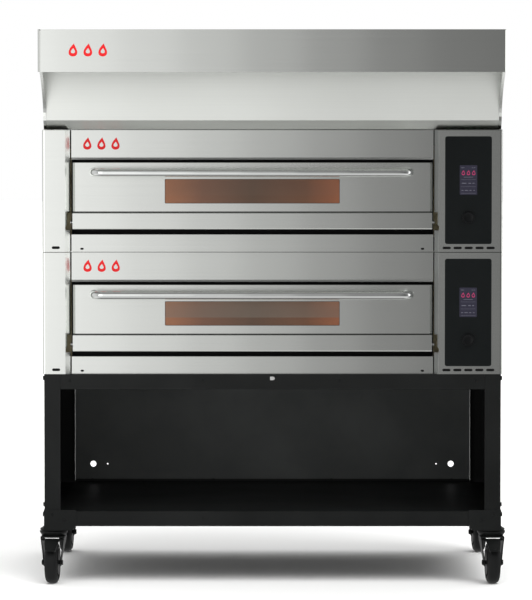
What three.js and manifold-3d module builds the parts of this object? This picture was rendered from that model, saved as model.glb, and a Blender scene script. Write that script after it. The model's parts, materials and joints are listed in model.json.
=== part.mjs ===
// A two-deck electric pizza oven on a wheeled stand, with an extraction hood on top.
// Millimetres. X runs to the right, Y to the rear and Z up from the floor.
// Everything is drawn with the front faces of the oven's columns at Y = 0, and the last lines
// bring the middle of the footprint to the origin.
import * as THREE from 'three';
import { mergeVertices } from 'three/addons/utils/BufferGeometryUtils.js';
import Module from 'manifold-3d';

const wasm = await Module();
wasm.setup();

// ---------------------------------------------------------------- driving dimensions
const GAP = 0.3; // left between neighbouring pieces
const SHEET = 1.5; // stainless sheet
const PLATE = 2; // painted steel of the stand
const HALF_WIDTH = 688;
const DEPTH = 940; // column faces to the rear of the stand and hood
const HOOD_REACH = 310; // fascia ahead of the column faces

const STAND_TOP = 629;
const DECK_HEIGHT = 365.6;
const DECK_NAMES = ['lower', 'upper'];

// deck front, all heights from the deck's own underside
const FRAME_Y = 16; // central panel behind the column faces
const FRAME_X = [-601.2, 480.9];
const MOUTH_Y = 60;
const MOUTH_X = [-585, 465];
const MOUTH_Z = [128, 258];
const RECESS_Z = [51.6, 274];
const BEVEL_TOP = 282; // where the top panel starts to fold back
const BEVEL_REACH = 10;
const COLUMN_DEPTH = 40;
const COLUMN_RADIUS = 8;
const LEFT_COLUMN_BEVEL = [-619.5, -605.3];
const RIGHT_COLUMN_BEVEL = [496.5, 484.2];
const NOTCH_Z = [64.5, 118.5]; // clearance for the hinge in both column bevels
const NOTCH_DEPTH = 9.3;

// door
const DOOR_X = [-596.5, 477.4];
const DOOR_Y = [6, 56];
const DOOR_Z = [121, 266.6];
const DOOR_BEVEL = 6.4;
const WINDOW_X = [-321.8, 200.9];
const WINDOW_Z = [145, 218];
const WINDOW_RADIUS = 3;
const PANE_LAP = 4;
const PANE_THICKNESS = 6;
const HINGE = { y: 15, z: 88.4, radius: 4, x: [-604.5, 484.2] };
const BAR_X = [-597.4, 476.8];
const BAR_Y = [0, 29.7];
const BAR_Z = [67.8, 117.6];
const HANDLE = { centre: -62, half: 471.5, z: 238.6, y: -50, radius: 12, wall: 1.5, bend: 30 };

// control column
const GLASS_X = [515.6, 654.4];
const GLASS_Z = [24.2, 345.4];
const GLASS_Y = [-0.5, 3.5];
const GLASS_RADIUS = 6;
const KNOB = { x: 585, z: 103.6, radius: 19, length: 14, shaft: 4, shaftEnd: 18 };

// oven chamber
const CHAMBER_X = [-588, 468];
const CHAMBER_Z = [84, 268];
const CHAMBER_BACK = 782;
const LINER = 3;
const WOOL = 40;
const STONE_TOP = 118;
const LEDGE = { width: 10, z: 97.5 };
const HEATER_SIZE = 8;
const TERMINAL_Y = [700, 765];
const CASING_BACK = 927;

// hood
const HOOD_HALF = 683;
const HOOD_Z = [1361, 1655];
const LIP_Z = 1531;
const LIP_BACK = -212;
const HOOD_PANEL_Y = -11.2;
const CHEEK_FRONT = -13;
const CHEEK_FOLD = 8;
const CHEEK_BEVEL = 6.5; // folded corner beside the fascia
const HOOD_BEVEL_TOP = 1388;
const HOOD_PANEL_TOP = 1600;
const FLUE = { radius: 75, y: 700, height: 10 };

// stand and castors
const STAND_HALF = 683.6;
const POST_WIDTH = 48.2;
const POST_FACE = 2;
const POST_DEPTH = 40;
const STAND_BACK = 938;
const RAIL_BOTTOM = 583.4;
const SHELF_Z = [171.6, 216.4];
const CASTOR_X = 658;
const CASTOR_Y = [45, 898];
const CASTOR_TRAIL = 38;
const CASTOR_YAW = 3.5; // degrees, wheels turned outwards
const WHEEL_RADIUS = 62.5;
const WHEEL_HALF = 19;
const FORK_TOP = 140;
const BRAKE_PIVOT = { y: -34, z: 131 };

// ---------------------------------------------------------------- finishes
const FINISHES = {
  brushed: { color: 0xb7bab5, roughness: 0.36, metalness: 0.9 },
  bright: { color: 0xd8dcd8, roughness: 0.14, metalness: 1 },
  painted: { color: 0x1f2221, roughness: 0.55, metalness: 0.2 },
  blackGlass: { color: 0x101112, roughness: 0.12, metalness: 0 },
  blackPlastic: { color: 0x131415, roughness: 0.5, metalness: 0 },
  amberGlass: { color: 0x7a5038, roughness: 0.1, metalness: 0 },
  aluminised: { color: 0x8f908c, roughness: 0.5, metalness: 0.8 },
  wool: { color: 0xc9b98a, roughness: 1, metalness: 0 },
  stone: { color: 0xb9a78c, roughness: 0.95, metalness: 0 },
  element: { color: 0x3a3532, roughness: 0.6, metalness: 0.6 },
  circuit: { color: 0x1d4a2c, roughness: 0.6, metalness: 0 },
  rubber: { color: 0x1b1c1c, roughness: 0.8, metalness: 0 },
};

// ---------------------------------------------------------------- solids
const WELD = 1e-4;
const ROUND_STEPS = 3; // chords to a quarter or half turn
const ROUND_SIDES = 20;
const QUARTER = Math.PI / 2;
const point = (x, y) => new THREE.Vector2(x, y);

// A closed geometry as a solid that can be joined and cut.
function solid(geometry) {
  const bare = new THREE.BufferGeometry();
  bare.setAttribute('position', geometry.getAttribute('position'));
  bare.setIndex(geometry.index);
  const welded = mergeVertices(bare, WELD);
  const spots = welded.getAttribute('position');
  const corners = welded.index.array;
  const [a, b, c] = [0, 1, 2].map(() => new THREE.Vector3());
  const triangles = [];
  let volume = 0;
  for (let i = 0; i < corners.length; i += 3) {
    const [p, q, r] = corners.slice(i, i + 3);
    if (p === q || q === r || r === p) continue;
    triangles.push([p, q, r]);
    [a, b, c].forEach((v, k) => v.fromBufferAttribute(spots, corners[i + k]));
    volume += a.dot(b.cross(c));
  }
  const outward = volume > 0 ? triangles : triangles.map(([p, q, r]) => [p, r, q]);
  return new wasm.Manifold(new wasm.Mesh({
    numProp: 3,
    vertProperties: new Float32Array(spots.array),
    triVerts: new Uint32Array(outward.flat()),
  }));
}

function geometryOf(manifold) {
  const { vertProperties, triVerts } = manifold.getMesh();
  const geometry = new THREE.BufferGeometry();
  geometry.setAttribute('position', new THREE.BufferAttribute(vertProperties, 3));
  geometry.setIndex(new THREE.BufferAttribute(triVerts, 1));
  geometry.computeVertexNormals();
  return geometry;
}

const join = (first, ...others) => others.reduce((whole, piece) => whole.add(piece), first);
const cut = (first, ...tools) => tools.reduce((whole, tool) => whole.subtract(tool), first);

function block([x0, x1], [y0, y1], [z0, z1]) {
  const geometry = new THREE.BoxGeometry(x1 - x0, y1 - y0, z1 - z0);
  return solid(geometry.translate((x0 + x1) / 2, (y0 + y1) / 2, (z0 + z1) / 2));
}

// An outline pushed along an axis. The outline is (y, z) for x, (x, z) for y and (x, y) for z.
function prism(axis, outline, [from, to]) {
  const shape = Array.isArray(outline) ? new THREE.Shape(outline) : outline;
  const depth = to - from;
  const options = { depth, bevelEnabled: false, curveSegments: ROUND_STEPS };
  const geometry = new THREE.ExtrudeGeometry(shape, options);
  if (axis === 'x') {
    geometry.rotateX(QUARTER).rotateZ(QUARTER).translate(from, 0, 0);
  } else if (axis === 'y') {
    geometry.rotateX(QUARTER).translate(0, to, 0);
  } else {
    geometry.translate(0, 0, from);
  }
  return solid(geometry);
}

// A round bar along an axis, through (u, v): (y, z) for x, (x, z) for y and (x, y) for z.
function bar(axis, radius, [from, to], [u, v], sides = 14) {
  const geometry = new THREE.CylinderGeometry(radius, radius, to - from, sides);
  geometry.translate(0, (from + to) / 2, 0);
  if (axis === 'x') geometry.rotateZ(-QUARTER).translate(0, u, v);
  if (axis === 'y') geometry.translate(u, 0, v);
  if (axis === 'z') geometry.rotateX(QUARTER).translate(u, v, 0);
  return solid(geometry);
}

// The outline of a sheet folded along a line, with its thickness to the left of the line.
function folded(line, thickness = SHEET) {
  const offset = line.map((corner, i) => {
    const sides = [];
    if (i > 0) sides.push(corner.clone().sub(line[i - 1]));
    if (i < line.length - 1) sides.push(line[i + 1].clone().sub(corner));
    const normals = sides.map((side) => point(-side.y, side.x).normalize());
    if (normals.length === 1) return corner.clone().addScaledVector(normals[0], thickness);
    const mitre = normals[0].clone().add(normals[1]);
    return corner.clone().addScaledVector(mitre, thickness / (1 + normals[0].dot(normals[1])));
  });
  return [...line, ...offset.reverse()];
}

function arc([cx, cy], radius, [start, end], steps = ROUND_STEPS) {
  return Array.from({ length: steps + 1 }, (_, i) => {
    const angle = THREE.MathUtils.degToRad(start + ((end - start) * i) / steps);
    return point(cx + radius * Math.cos(angle), cy + radius * Math.sin(angle));
  });
}

function roundedRectangle([x0, x1], [y0, y1], radius, steps = 3) {
  return [
    ...arc([x1 - radius, y0 + radius], radius, [-90, 0], steps),
    ...arc([x1 - radius, y1 - radius], radius, [0, 90], steps),
    ...arc([x0 + radius, y1 - radius], radius, [90, 180], steps),
    ...arc([x0 + radius, y0 + radius], radius, [180, 270], steps),
  ];
}

// A slot with round ends, centred on (cx, cy).
function slot([cx, cy], width, height) {
  const radius = height / 2;
  const reach = width / 2 - radius;
  return [
    ...arc([cx + reach, cy], radius, [-90, 90], 4),
    ...arc([cx - reach, cy], radius, [90, 270], 4),
  ];
}

const grown = ([low, high], by) => [low - by, high + by];
const lathe = (profile, sides) => new THREE.LatheGeometry(profile, sides);

// ---------------------------------------------------------------- assembly
const oven = new THREE.Group();

function add(parent, name, manifold, finish) {
  const mesh = new THREE.Mesh(geometryOf(manifold), new THREE.MeshStandardMaterial(FINISHES[finish]));
  mesh.name = name;
  parent.add(mesh);
}

// ---------------------------------------------------------------- one deck
const DECK_TOP = DECK_HEIGHT - GAP;
const COVER_TOP = DECK_HEIGHT - 1.8; // shadow line over each deck's front covers
const THROUGH = [-5, 70]; // passes through every front sheet

// Folded cover with open front: two sides, roof, floor and back, with cooling slots.
function casing() {
  const outerX = [-HALF_WIDTH, HALF_WIDTH];
  const outerY = [COLUMN_DEPTH + GAP, CASING_BACK];
  const shell = cut(
    block(outerX, outerY, [0, DECK_TOP]),
    block(grown(outerX, -SHEET), [0, CASING_BACK - SHEET], [SHEET, DECK_TOP - SHEET]),
  );
  const gland = { x: 600, z: 60, radius: 14, bore: 9, sides: 12 };
  const louvres = [];
  for (const row of [100, 200]) {
    for (let i = 0; i < 7; i += 1) {
      const y = 130 + i * 22;
      louvres.push(block([HALF_WIDTH - 10, HALF_WIDTH + 10], [y, y + 7], [row, row + 70]));
    }
  }
  for (let i = 0; i < 6; i += 1) {
    const x = 440 + i * 22;
    louvres.push(block([x, x + 7], [CASING_BACK - 10, CASING_BACK + 10], [200, 290]));
  }
  const boss = bar('y', gland.radius, [CASING_BACK - 1, DEPTH], [gland.x, gland.z], gland.sides);
  const bore = bar('y', gland.bore, [CASING_BACK - 10, DEPTH + 5], [gland.x, gland.z], gland.sides);
  return cut(shell.add(boss), bore, ...louvres);
}

// Side walls of the door recess carry the ears that the hinge rod turns in.
function frontFrame() {
  const upperFold = folded([
    point(COLUMN_DEPTH, COVER_TOP),
    point(FRAME_Y, COVER_TOP),
    point(FRAME_Y, BEVEL_TOP),
    point(FRAME_Y + BEVEL_REACH, RECESS_Z[1]),
    point(MOUTH_Y + SHEET, RECESS_Z[1]),
  ]);
  const lowerFold = folded([
    point(MOUTH_Y + SHEET, RECESS_Z[0]),
    point(FRAME_Y, RECESS_Z[0]),
    point(FRAME_Y, 0),
    point(COLUMN_DEPTH, 0),
  ]);
  const wallZ = [RECESS_Z[0] - SHEET, RECESS_Z[1] + SHEET];
  const wallY = [FRAME_Y + BEVEL_REACH, MOUTH_Y + SHEET];
  const mouthPlate = cut(
    block(FRAME_X, [MOUTH_Y, MOUTH_Y + SHEET], wallZ),
    block(MOUTH_X, [MOUTH_Y - 5, MOUTH_Y + 5], MOUTH_Z),
  );
  const earRadius = 9;
  const walls = [[FRAME_X[0], FRAME_X[0] + SHEET], [FRAME_X[1] - SHEET, FRAME_X[1]]].map((wallX) => join(
    block(wallX, wallY, wallZ),
    block(wallX, [HINGE.y, wallY[1]], [HINGE.z - earRadius, HINGE.z + earRadius]),
    bar('x', earRadius, wallX, [HINGE.y, HINGE.z]),
  ));
  const rodBore = bar('x', HINGE.radius + GAP, [FRAME_X[0] - 5, FRAME_X[1] + 5], [HINGE.y, HINGE.z]);
  const drains = [-570, 449].map((x) => prism('y', slot([x, 9], 10.5, 6), [FRAME_Y - 5, FRAME_Y + 5]));
  return cut(
    join(prism('x', upperFold, FRAME_X), prism('x', lowerFold, FRAME_X), mouthPlate, ...walls),
    rodBore,
    ...drains,
  );
}

// Clearance around the hinge, cut out of a column's bevel; its lower outer corner is splayed.
function hingeNotch(inner, away) {
  const edge = inner + away * NOTCH_DEPTH;
  const splay = away * 4;
  return prism('y', [
    point(inner - away * 5, NOTCH_Z[0]),
    point(edge + splay / 2, NOTCH_Z[0]),
    point(edge + splay, NOTCH_Z[0] + 4),
    point(edge + splay, NOTCH_Z[0] + 12),
    point(edge, NOTCH_Z[0] + 17),
    point(edge, NOTCH_Z[1]),
    point(inner - away * 5, NOTCH_Z[1]),
  ], THROUGH);
}

function leftColumn() {
  const line = [
    point(-HALF_WIDTH, COLUMN_DEPTH),
    ...arc([-HALF_WIDTH + COLUMN_RADIUS, COLUMN_RADIUS], COLUMN_RADIUS, [180, 270]),
    point(LEFT_COLUMN_BEVEL[0], 0),
    point(LEFT_COLUMN_BEVEL[1], FRAME_Y),
    point(LEFT_COLUMN_BEVEL[1], COLUMN_DEPTH),
  ];
  return cut(
    prism('z', folded(line), [0, COVER_TOP]),
    hingeNotch(LEFT_COLUMN_BEVEL[1], -1),
    prism('y', slot([-647.5, 13], 24.5, 8.2), [-5, 5]),
  );
}

function controlColumn() {
  const line = [
    point(RIGHT_COLUMN_BEVEL[1], COLUMN_DEPTH),
    point(RIGHT_COLUMN_BEVEL[1], FRAME_Y),
    point(RIGHT_COLUMN_BEVEL[0], 0),
    ...arc([HALF_WIDTH - COLUMN_RADIUS, COLUMN_RADIUS], COLUMN_RADIUS, [270, 360]),
    point(HALF_WIDTH, COLUMN_DEPTH),
  ];
  const vents = [-2, -1, 0, 1, 2].map((i) => prism('y', slot([586 + i * 32.8, 12.3], 25, 7.6), [-5, 5]));
  const opening = roundedRectangle(grown(GLASS_X, GAP), grown(GLASS_Z, GAP), GLASS_RADIUS + GAP);
  return cut(
    prism('z', folded(line), [0, COVER_TOP]),
    prism('y', opening, [-5, 5]),
    hingeNotch(RIGHT_COLUMN_BEVEL[1], 1),
    ...vents,
  );
}

function controlGlass() {
  const outline = roundedRectangle(GLASS_X, GLASS_Z, GLASS_RADIUS);
  return cut(
    prism('y', outline, GLASS_Y),
    bar('y', KNOB.shaft + GAP, [-5, 10], [KNOB.x, KNOB.z]),
  );
}

// Cap and shaft in one, with a pointer groove at the top of the cap.
function controlKnob() {
  const back = GLASS_Y[0] - GAP;
  const front = back - KNOB.length;
  const profile = [
    point(0, KNOB.shaftEnd),
    point(KNOB.shaft, KNOB.shaftEnd),
    point(KNOB.shaft, back),
    point(KNOB.radius, back),
    point(KNOB.radius - 0.8, front + 3),
    point(KNOB.radius - 3, front),
    point(0, front),
  ];
  const turned = solid(lathe(profile, ROUND_SIDES).translate(KNOB.x, 0, KNOB.z));
  const groove = block(grown([KNOB.x, KNOB.x], 1), [front - 5, front + 1], [KNOB.z + 7, KNOB.z + 15]);
  return turned.subtract(groove);
}

// Carrier plate behind the glass, with the circuit board, its relays and the knob's encoder.
function controlBoard() {
  const carrierX = [512.5, 657.5];
  const carrierY = [GLASS_Y[1] + GAP, GLASS_Y[1] + GAP + 2];
  const carrierZ = [22, 348];
  const boardX = [520, 650];
  const boardY = [20, 22];
  const boardZ = [55, 335];
  const pieces = [block(boardX, boardY, boardZ)];
  for (const x of [528, 642]) {
    for (const z of [63, 327]) pieces.push(bar('y', 3, [carrierY[0] + 1, boardY[1]], [x, z], 8));
  }
  for (const z of [150, 200, 250]) pieces.push(block([530, 570], [boardY[1] - 1, 44], [z, z + 28]));
  pieces.push(block([590, 640], [boardY[1] - 1, 54], [160, 230]));
  pieces.push(block([KNOB.x - 12, KNOB.x + 12], [carrierY[1] - 1, boardY[0] + 1], [KNOB.z - 12, KNOB.z + 12]));
  const shaftBore = bar('y', KNOB.shaft + GAP, [0, boardY[1] + 5], [KNOB.x, KNOB.z]);
  return join(block(carrierX, carrierY, carrierZ), ...pieces).subtract(shaftBore);
}

const LINER_FRONT = MOUTH_Y + SHEET + GAP;
const LINER_X = grown(CHAMBER_X, LINER);
const LINER_Z = grown(CHAMBER_Z, LINER);
const TOP_HEATER_Z = [CHAMBER_Z[1] - 12, CHAMBER_Z[1] - 12 + HEATER_SIZE];
const BOTTOM_HEATER_Z = [CHAMBER_Z[0] + GAP, CHAMBER_Z[0] + GAP + HEATER_SIZE];

// Openings in the right-hand walls that the heaters' terminals leave by.
function terminalSlots(wallX) {
  return [TOP_HEATER_Z, BOTTOM_HEATER_Z].map(([low, high]) => block(
    wallX,
    TERMINAL_Y,
    [Math.max(low - 2, CHAMBER_Z[0]), Math.min(high + 2, CHAMBER_Z[1])],
  ));
}

function chamber() {
  const ledgeZ = [LEDGE.z, LEDGE.z + LINER];
  const ledgeY = [LINER_FRONT, CHAMBER_BACK];
  const ledges = [
    block([CHAMBER_X[0] - 1, CHAMBER_X[0] + LEDGE.width], ledgeY, ledgeZ),
    block([CHAMBER_X[1] - LEDGE.width, CHAMBER_X[1] + 1], ledgeY, ledgeZ),
  ];
  const box = cut(
    block(LINER_X, [LINER_FRONT, CHAMBER_BACK + LINER], LINER_Z),
    block(CHAMBER_X, [0, CHAMBER_BACK], CHAMBER_Z),
  );
  return cut(join(box, ...ledges), ...terminalSlots([CHAMBER_X[1], LINER_X[1] + 5]));
}

function insulation() {
  const hollowX = grown(LINER_X, GAP);
  const hollowZ = grown(LINER_Z, GAP);
  const hollowBack = CHAMBER_BACK + LINER + GAP;
  const blanket = cut(
    block(grown(hollowX, WOOL), [LINER_FRONT, hollowBack + WOOL], grown(hollowZ, WOOL - LINER)),
    block(hollowX, [0, hollowBack], hollowZ),
  );
  return cut(blanket, ...terminalSlots([hollowX[1] - 1, hollowX[1] + WOOL + 5]));
}

// Firebrick hearth on the chamber's ledges, its slab joints cut as shallow grooves.
function stone() {
  const x = grown(CHAMBER_X, -1);
  const third = (x[1] - x[0]) / 3;
  const grooves = [1, 2].map((i) => {
    const middle = x[0] + third * i;
    return block(grown([middle, middle], 1.5), [0, CHAMBER_BACK + 10], [STONE_TOP - 3, STONE_TOP + 5]);
  });
  const slab = block(x, [LINER_FRONT + 4, CHAMBER_BACK - 4], [LEDGE.z + LINER + GAP, STONE_TOP]);
  return cut(slab, ...grooves);
}

// Flat meander of square-section element, both ends leaving through the right-hand wall.
function heater(z) {
  const rearLeg = 745;
  const legs = 8;
  const pitch = 84;
  const left = -565;
  const right = 425;
  const returnX = 452;
  const terminal = 505;
  const line = [point(terminal, rearLeg), point(left, rearLeg)];
  for (let i = 1; i < legs; i += 1) {
    const y = rearLeg - i * pitch;
    const ends = i % 2 === 0 ? [right, left] : [left, i === legs - 1 ? returnX : right];
    line.push(...ends.map((x) => point(x, y)));
  }
  line.push(point(returnX, rearLeg - 2.5 * HEATER_SIZE), point(terminal, rearLeg - 2.5 * HEATER_SIZE));
  return prism('z', folded(line, HEATER_SIZE), z);
}

// Hollow leaf: bevelled front skin, glazing frame round the window, and a channel under it
// that reaches down behind the hinge bar.
function door() {
  const plan = (inset) => [
    point(DOOR_X[0] + inset, DOOR_Y[1] - inset),
    point(DOOR_X[0] + inset, DOOR_Y[0] + DOOR_BEVEL + inset / 2),
    point(DOOR_X[0] + DOOR_BEVEL + inset / 2, DOOR_Y[0] + inset),
    point(DOOR_X[1] - DOOR_BEVEL - inset / 2, DOOR_Y[0] + inset),
    point(DOOR_X[1] - inset, DOOR_Y[0] + DOOR_BEVEL + inset / 2),
    point(DOOR_X[1] - inset, DOOR_Y[1] - inset),
  ];
  const skin = cut(
    prism('z', plan(0), DOOR_Z),
    prism('z', plan(SHEET), [DOOR_Z[0] - 5, DOOR_Z[1] - SHEET]),
  );
  const channelBottom = 84;
  const channel = folded([
    point(BAR_Y[1] + GAP, BAR_Z[1]),
    point(BAR_Y[1] + GAP, channelBottom),
    point(DOOR_Y[1], channelBottom),
    point(DOOR_Y[1], DOOR_Z[0] + 5),
  ], SHEET);
  const rebateX = grown(WINDOW_X, PANE_LAP + GAP);
  const rebateZ = grown(WINDOW_Z, PANE_LAP + GAP);
  const skinY = [DOOR_Y[0] + SHEET - 0.1, DOOR_Y[1] - SHEET + 0.1];
  const glazingFrame = block(grown(rebateX, SHEET), skinY, grown(rebateZ, SHEET));
  const rebateY = [DOOR_Y[0] + SHEET, DOOR_Y[0] + SHEET + PANE_THICKNESS + 2 * GAP];
  const light = roundedRectangle(WINDOW_X, WINDOW_Z, WINDOW_RADIUS);
  return cut(
    join(skin, glazingFrame, prism('x', channel, [DOOR_X[0] + 8, DOOR_X[1] - 8])),
    prism('y', light, [0, DOOR_Y[1] + 5]),
    block(rebateX, rebateY, rebateZ),
  );
}

function doorGlass() {
  const front = DOOR_Y[0] + SHEET + GAP;
  return block(grown(WINDOW_X, PANE_LAP), [front, front + PANE_THICKNESS], grown(WINDOW_Z, PANE_LAP));
}

// Centre line of the handle: out from the door, round a bend, along, and back in.
class HandleLine extends THREE.Curve {
  constructor() {
    super();
    const { centre, half, y, bend } = HANDLE;
    const foot = DOOR_Y[0] - GAP;
    const left = arc([centre - half + bend, y + bend], bend, [180, 270], 5);
    const right = arc([centre + half - bend, y + bend], bend, [270, 360], 5);
    this.stops = [point(centre - half, foot), ...left, ...right, point(centre + half, foot)];
  }

  getPoint(t, target = new THREE.Vector3()) {
    const reach = t * (this.stops.length - 1);
    const i = Math.min(Math.floor(reach), this.stops.length - 2);
    const spot = this.stops[i].clone().lerp(this.stops[i + 1], reach - i);
    return target.set(spot.x, spot.y, HANDLE.z);
  }

  // one step for each stop, however far apart they are
  getUtoTmapping(u) {
    return u;
  }

  getTangent(t, target = new THREE.Vector3()) {
    const step = 0.5 / (this.stops.length - 1);
    const before = this.getPoint(Math.max(t - step, 0));
    return target.copy(this.getPoint(Math.min(t + step, 1))).sub(before).normalize();
  }
}

function handle() {
  const ring = (radius, sides) => arc([0, 0], radius, [0, 360 - 360 / sides], sides - 1);
  const section = new THREE.Shape(ring(HANDLE.radius, 12));
  section.holes.push(new THREE.Path(ring(HANDLE.radius - HANDLE.wall, 8)));
  const line = new HandleLine();
  return solid(new THREE.ExtrudeGeometry(section, {
    steps: line.stops.length - 1,
    extrudePath: line,
    bevelEnabled: false,
  }));
}

// Box-section bar with a plug at each end, bored for the hinge rod.
function doorBar() {
  const wall = 2;
  const plug = 12;
  const tube = prism('x', roundedRectangle(BAR_Y, BAR_Z, 2.5, 2), BAR_X);
  const hollow = block(grown(BAR_X, -plug), grown(BAR_Y, -wall), grown(BAR_Z, -wall));
  const bore = bar('x', HINGE.radius + GAP, grown(BAR_X, 5), [HINGE.y, HINGE.z]);
  return cut(tube, hollow, bore);
}

const hingeRod = () => bar('x', HINGE.radius, HINGE.x, [HINGE.y, HINGE.z]);

function deck(name, floor) {
  const group = new THREE.Group();
  group.position.z = floor;
  const pieces = [
    ['casing', casing(), 'brushed'],
    ['front_frame', frontFrame(), 'brushed'],
    ['left_column', leftColumn(), 'brushed'],
    ['control_column', controlColumn(), 'brushed'],
    ['control_glass', controlGlass(), 'blackGlass'],
    ['control_knob', controlKnob(), 'blackPlastic'],
    ['control_board', controlBoard(), 'circuit'],
    ['chamber', chamber(), 'aluminised'],
    ['insulation', insulation(), 'wool'],
    ['stone', stone(), 'stone'],
    ['top_heater', heater(TOP_HEATER_Z), 'element'],
    ['bottom_heater', heater(BOTTOM_HEATER_Z), 'element'],
    ['door', door(), 'brushed'],
    ['door_glass', doorGlass(), 'amberGlass'],
    ['handle', handle(), 'bright'],
    ['door_bar', doorBar(), 'brushed'],
    ['hinge_rod', hingeRod(), 'bright'],
  ];
  for (const [piece, manifold, finish] of pieces) add(group, `${name}_${piece}`, manifold, finish);
  oven.add(group);
}

DECK_NAMES.forEach((name, i) => deck(name, STAND_TOP + i * DECK_HEIGHT));

// ---------------------------------------------------------------- hood
// Front edge of a cheek from the bottom: the front panel's bevel, a sweep forward to the lip,
// then up the fascia. It runs a sheet and a gap in front of the front panel.
function cheekFront() {
  const ahead = SHEET + GAP;
  const bevelTop = HOOD_BEVEL_TOP - ahead * (Math.SQRT2 - 1);
  const sweep = new THREE.QuadraticBezierCurve(
    point(CHEEK_FRONT, bevelTop),
    point(CHEEK_FRONT, (bevelTop + LIP_Z) / 2),
    point(LIP_BACK, LIP_Z),
  );
  const crown = arc([-HOOD_REACH + 4, HOOD_Z[1] - 4], 4, [180, 90], 2);
  return [
    point(CHEEK_FRONT + bevelTop - HOOD_Z[0], HOOD_Z[0]),
    ...sweep.getPoints(12),
    point(-HOOD_REACH, LIP_Z),
    ...crown,
  ];
}

function cheek(side) {
  const outer = side * HOOD_HALF;
  const across = (width) => [outer, outer - side * width].sort((a, b) => a - b);
  const front = cheekFront();
  const profile = [...front, point(DEPTH, HOOD_Z[1]), point(DEPTH, HOOD_Z[0])];
  const sheet = prism('x', profile, across(SHEET));
  const fold = prism('x', folded(front, -SHEET), across(CHEEK_FOLD));
  const inner = outer - side * CHEEK_BEVEL;
  const beyond = outer + side * CHEEK_BEVEL;
  const back = CHEEK_BEVEL - HOOD_REACH;
  const ahead = -CHEEK_BEVEL - HOOD_REACH;
  const lap = SHEET * Math.SQRT2; // the 45 degree fold's thickness measured along x or y
  const corner = prism('z', [
    point(outer, back),
    point(beyond, back),
    point(beyond, ahead),
    point(inner, ahead),
    point(inner, -HOOD_REACH),
  ], grown([LIP_Z, HOOD_Z[1]], 1));
  const bevel = prism('z', [
    point(outer, back),
    point(inner, -HOOD_REACH),
    point(inner, lap - HOOD_REACH),
    point(outer - side * lap, back),
  ], [LIP_Z, HOOD_Z[1]]);
  return sheet.add(fold).subtract(corner).add(bevel.intersect(prism('x', profile, across(CHEEK_FOLD))));
}

function fascia() {
  const half = HOOD_HALF - CHEEK_FOLD - GAP;
  const line = [
    point(-HOOD_REACH + 50, HOOD_Z[1]),
    point(-HOOD_REACH, HOOD_Z[1]),
    point(-HOOD_REACH, LIP_Z),
    point(LIP_BACK, LIP_Z),
    point(LIP_BACK, LIP_Z + 14),
  ];
  return prism('x', folded(line), [-half, half]);
}

function hoodPanel() {
  const half = HOOD_HALF - SHEET - GAP;
  const bottom = HOOD_Z[0] + GAP;
  const line = [
    point(HOOD_PANEL_Y + 45, HOOD_PANEL_TOP),
    point(HOOD_PANEL_Y, HOOD_PANEL_TOP),
    point(HOOD_PANEL_Y, HOOD_BEVEL_TOP),
    point(HOOD_PANEL_Y + HOOD_BEVEL_TOP - bottom, bottom),
    point(FRAME_Y + 45, bottom),
  ];
  return prism('x', folded(line), [-half, half]);
}

// Roof and back in one sheet, with the collar that the flue pipe slips over.
function canopy() {
  const half = HOOD_HALF - SHEET - GAP;
  const line = [
    point(DEPTH, HOOD_Z[0]),
    point(DEPTH, HOOD_Z[1]),
    point(-HOOD_REACH + 50 + GAP, HOOD_Z[1]),
  ];
  const sheet = prism('x', folded(line), [-half, half]);
  const collarZ = [HOOD_Z[1] - SHEET, HOOD_Z[1] + FLUE.height];
  const collar = bar('z', FLUE.radius, collarZ, [0, FLUE.y], 32);
  const bore = bar('z', FLUE.radius - SHEET, grown(collarZ, 10), [0, FLUE.y], 32);
  return cut(sheet.add(collar), bore);
}

add(oven, 'hood_canopy', canopy(), 'brushed');
add(oven, 'hood_fascia', fascia(), 'brushed');
add(oven, 'hood_left_cheek', cheek(-1), 'brushed');
add(oven, 'hood_right_cheek', cheek(1), 'brushed');
add(oven, 'hood_front_panel', hoodPanel(), 'brushed');

// ---------------------------------------------------------------- stand
const STAND_Z = [SHELF_Z[0], STAND_TOP - GAP];
const POST_INNER = STAND_HALF - POST_WIDTH;

const mirrored = (line, side) => (side < 0 ? line : line.map((spot) => point(-spot.x, spot.y)));

// Drawn for the left side, where the thickness lies to the left of the line.
const uprightSheet = (line, side) => prism('z', folded(mirrored(line, side), -side * PLATE), STAND_Z);

function frontLeg(side) {
  return uprightSheet([
    point(-STAND_HALF, POST_FACE + POST_DEPTH),
    point(-STAND_HALF, POST_FACE),
    point(-POST_INNER, POST_FACE),
    point(-POST_INNER, POST_FACE + 18),
  ], side);
}

function sidePanel(side) {
  return uprightSheet([
    point(-POST_INNER, STAND_BACK - 20),
    point(-POST_INNER, STAND_BACK),
    point(-STAND_HALF, STAND_BACK),
    point(-STAND_HALF, POST_FACE + POST_DEPTH + GAP),
  ], side);
}

function backPanel() {
  const half = POST_INNER - GAP;
  const thickness = 1.5;
  const y = [STAND_BACK - 3, STAND_BACK - 3 + thickness];
  const sheet = block([-half, half], y, [SHELF_Z[1] + GAP, STAND_Z[1]]);
  const through = [y[0] - 10, y[1] + 10];
  return cut(
    sheet,
    ...[-577, 574].map((x) => prism('y', arc([x, 274], 9.75, [0, 337.5], 15), through)),
    ...[-531, 527].map((x) => prism('y', arc([x, 274], 2.5, [0, 315], 7), through)),
  );
}

function topRail() {
  const half = POST_INNER - GAP;
  const line = [
    point(POST_FACE + 38, STAND_Z[1]),
    point(POST_FACE, STAND_Z[1]),
    point(POST_FACE, RAIL_BOTTOM),
    point(POST_FACE + 28, RAIL_BOTTOM),
  ];
  return cut(
    prism('x', folded(line, PLATE), [-half, half]),
    prism('y', slot([0, 616], 15.7, 12.2), [POST_FACE - 5, POST_FACE + 5]),
  );
}

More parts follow.
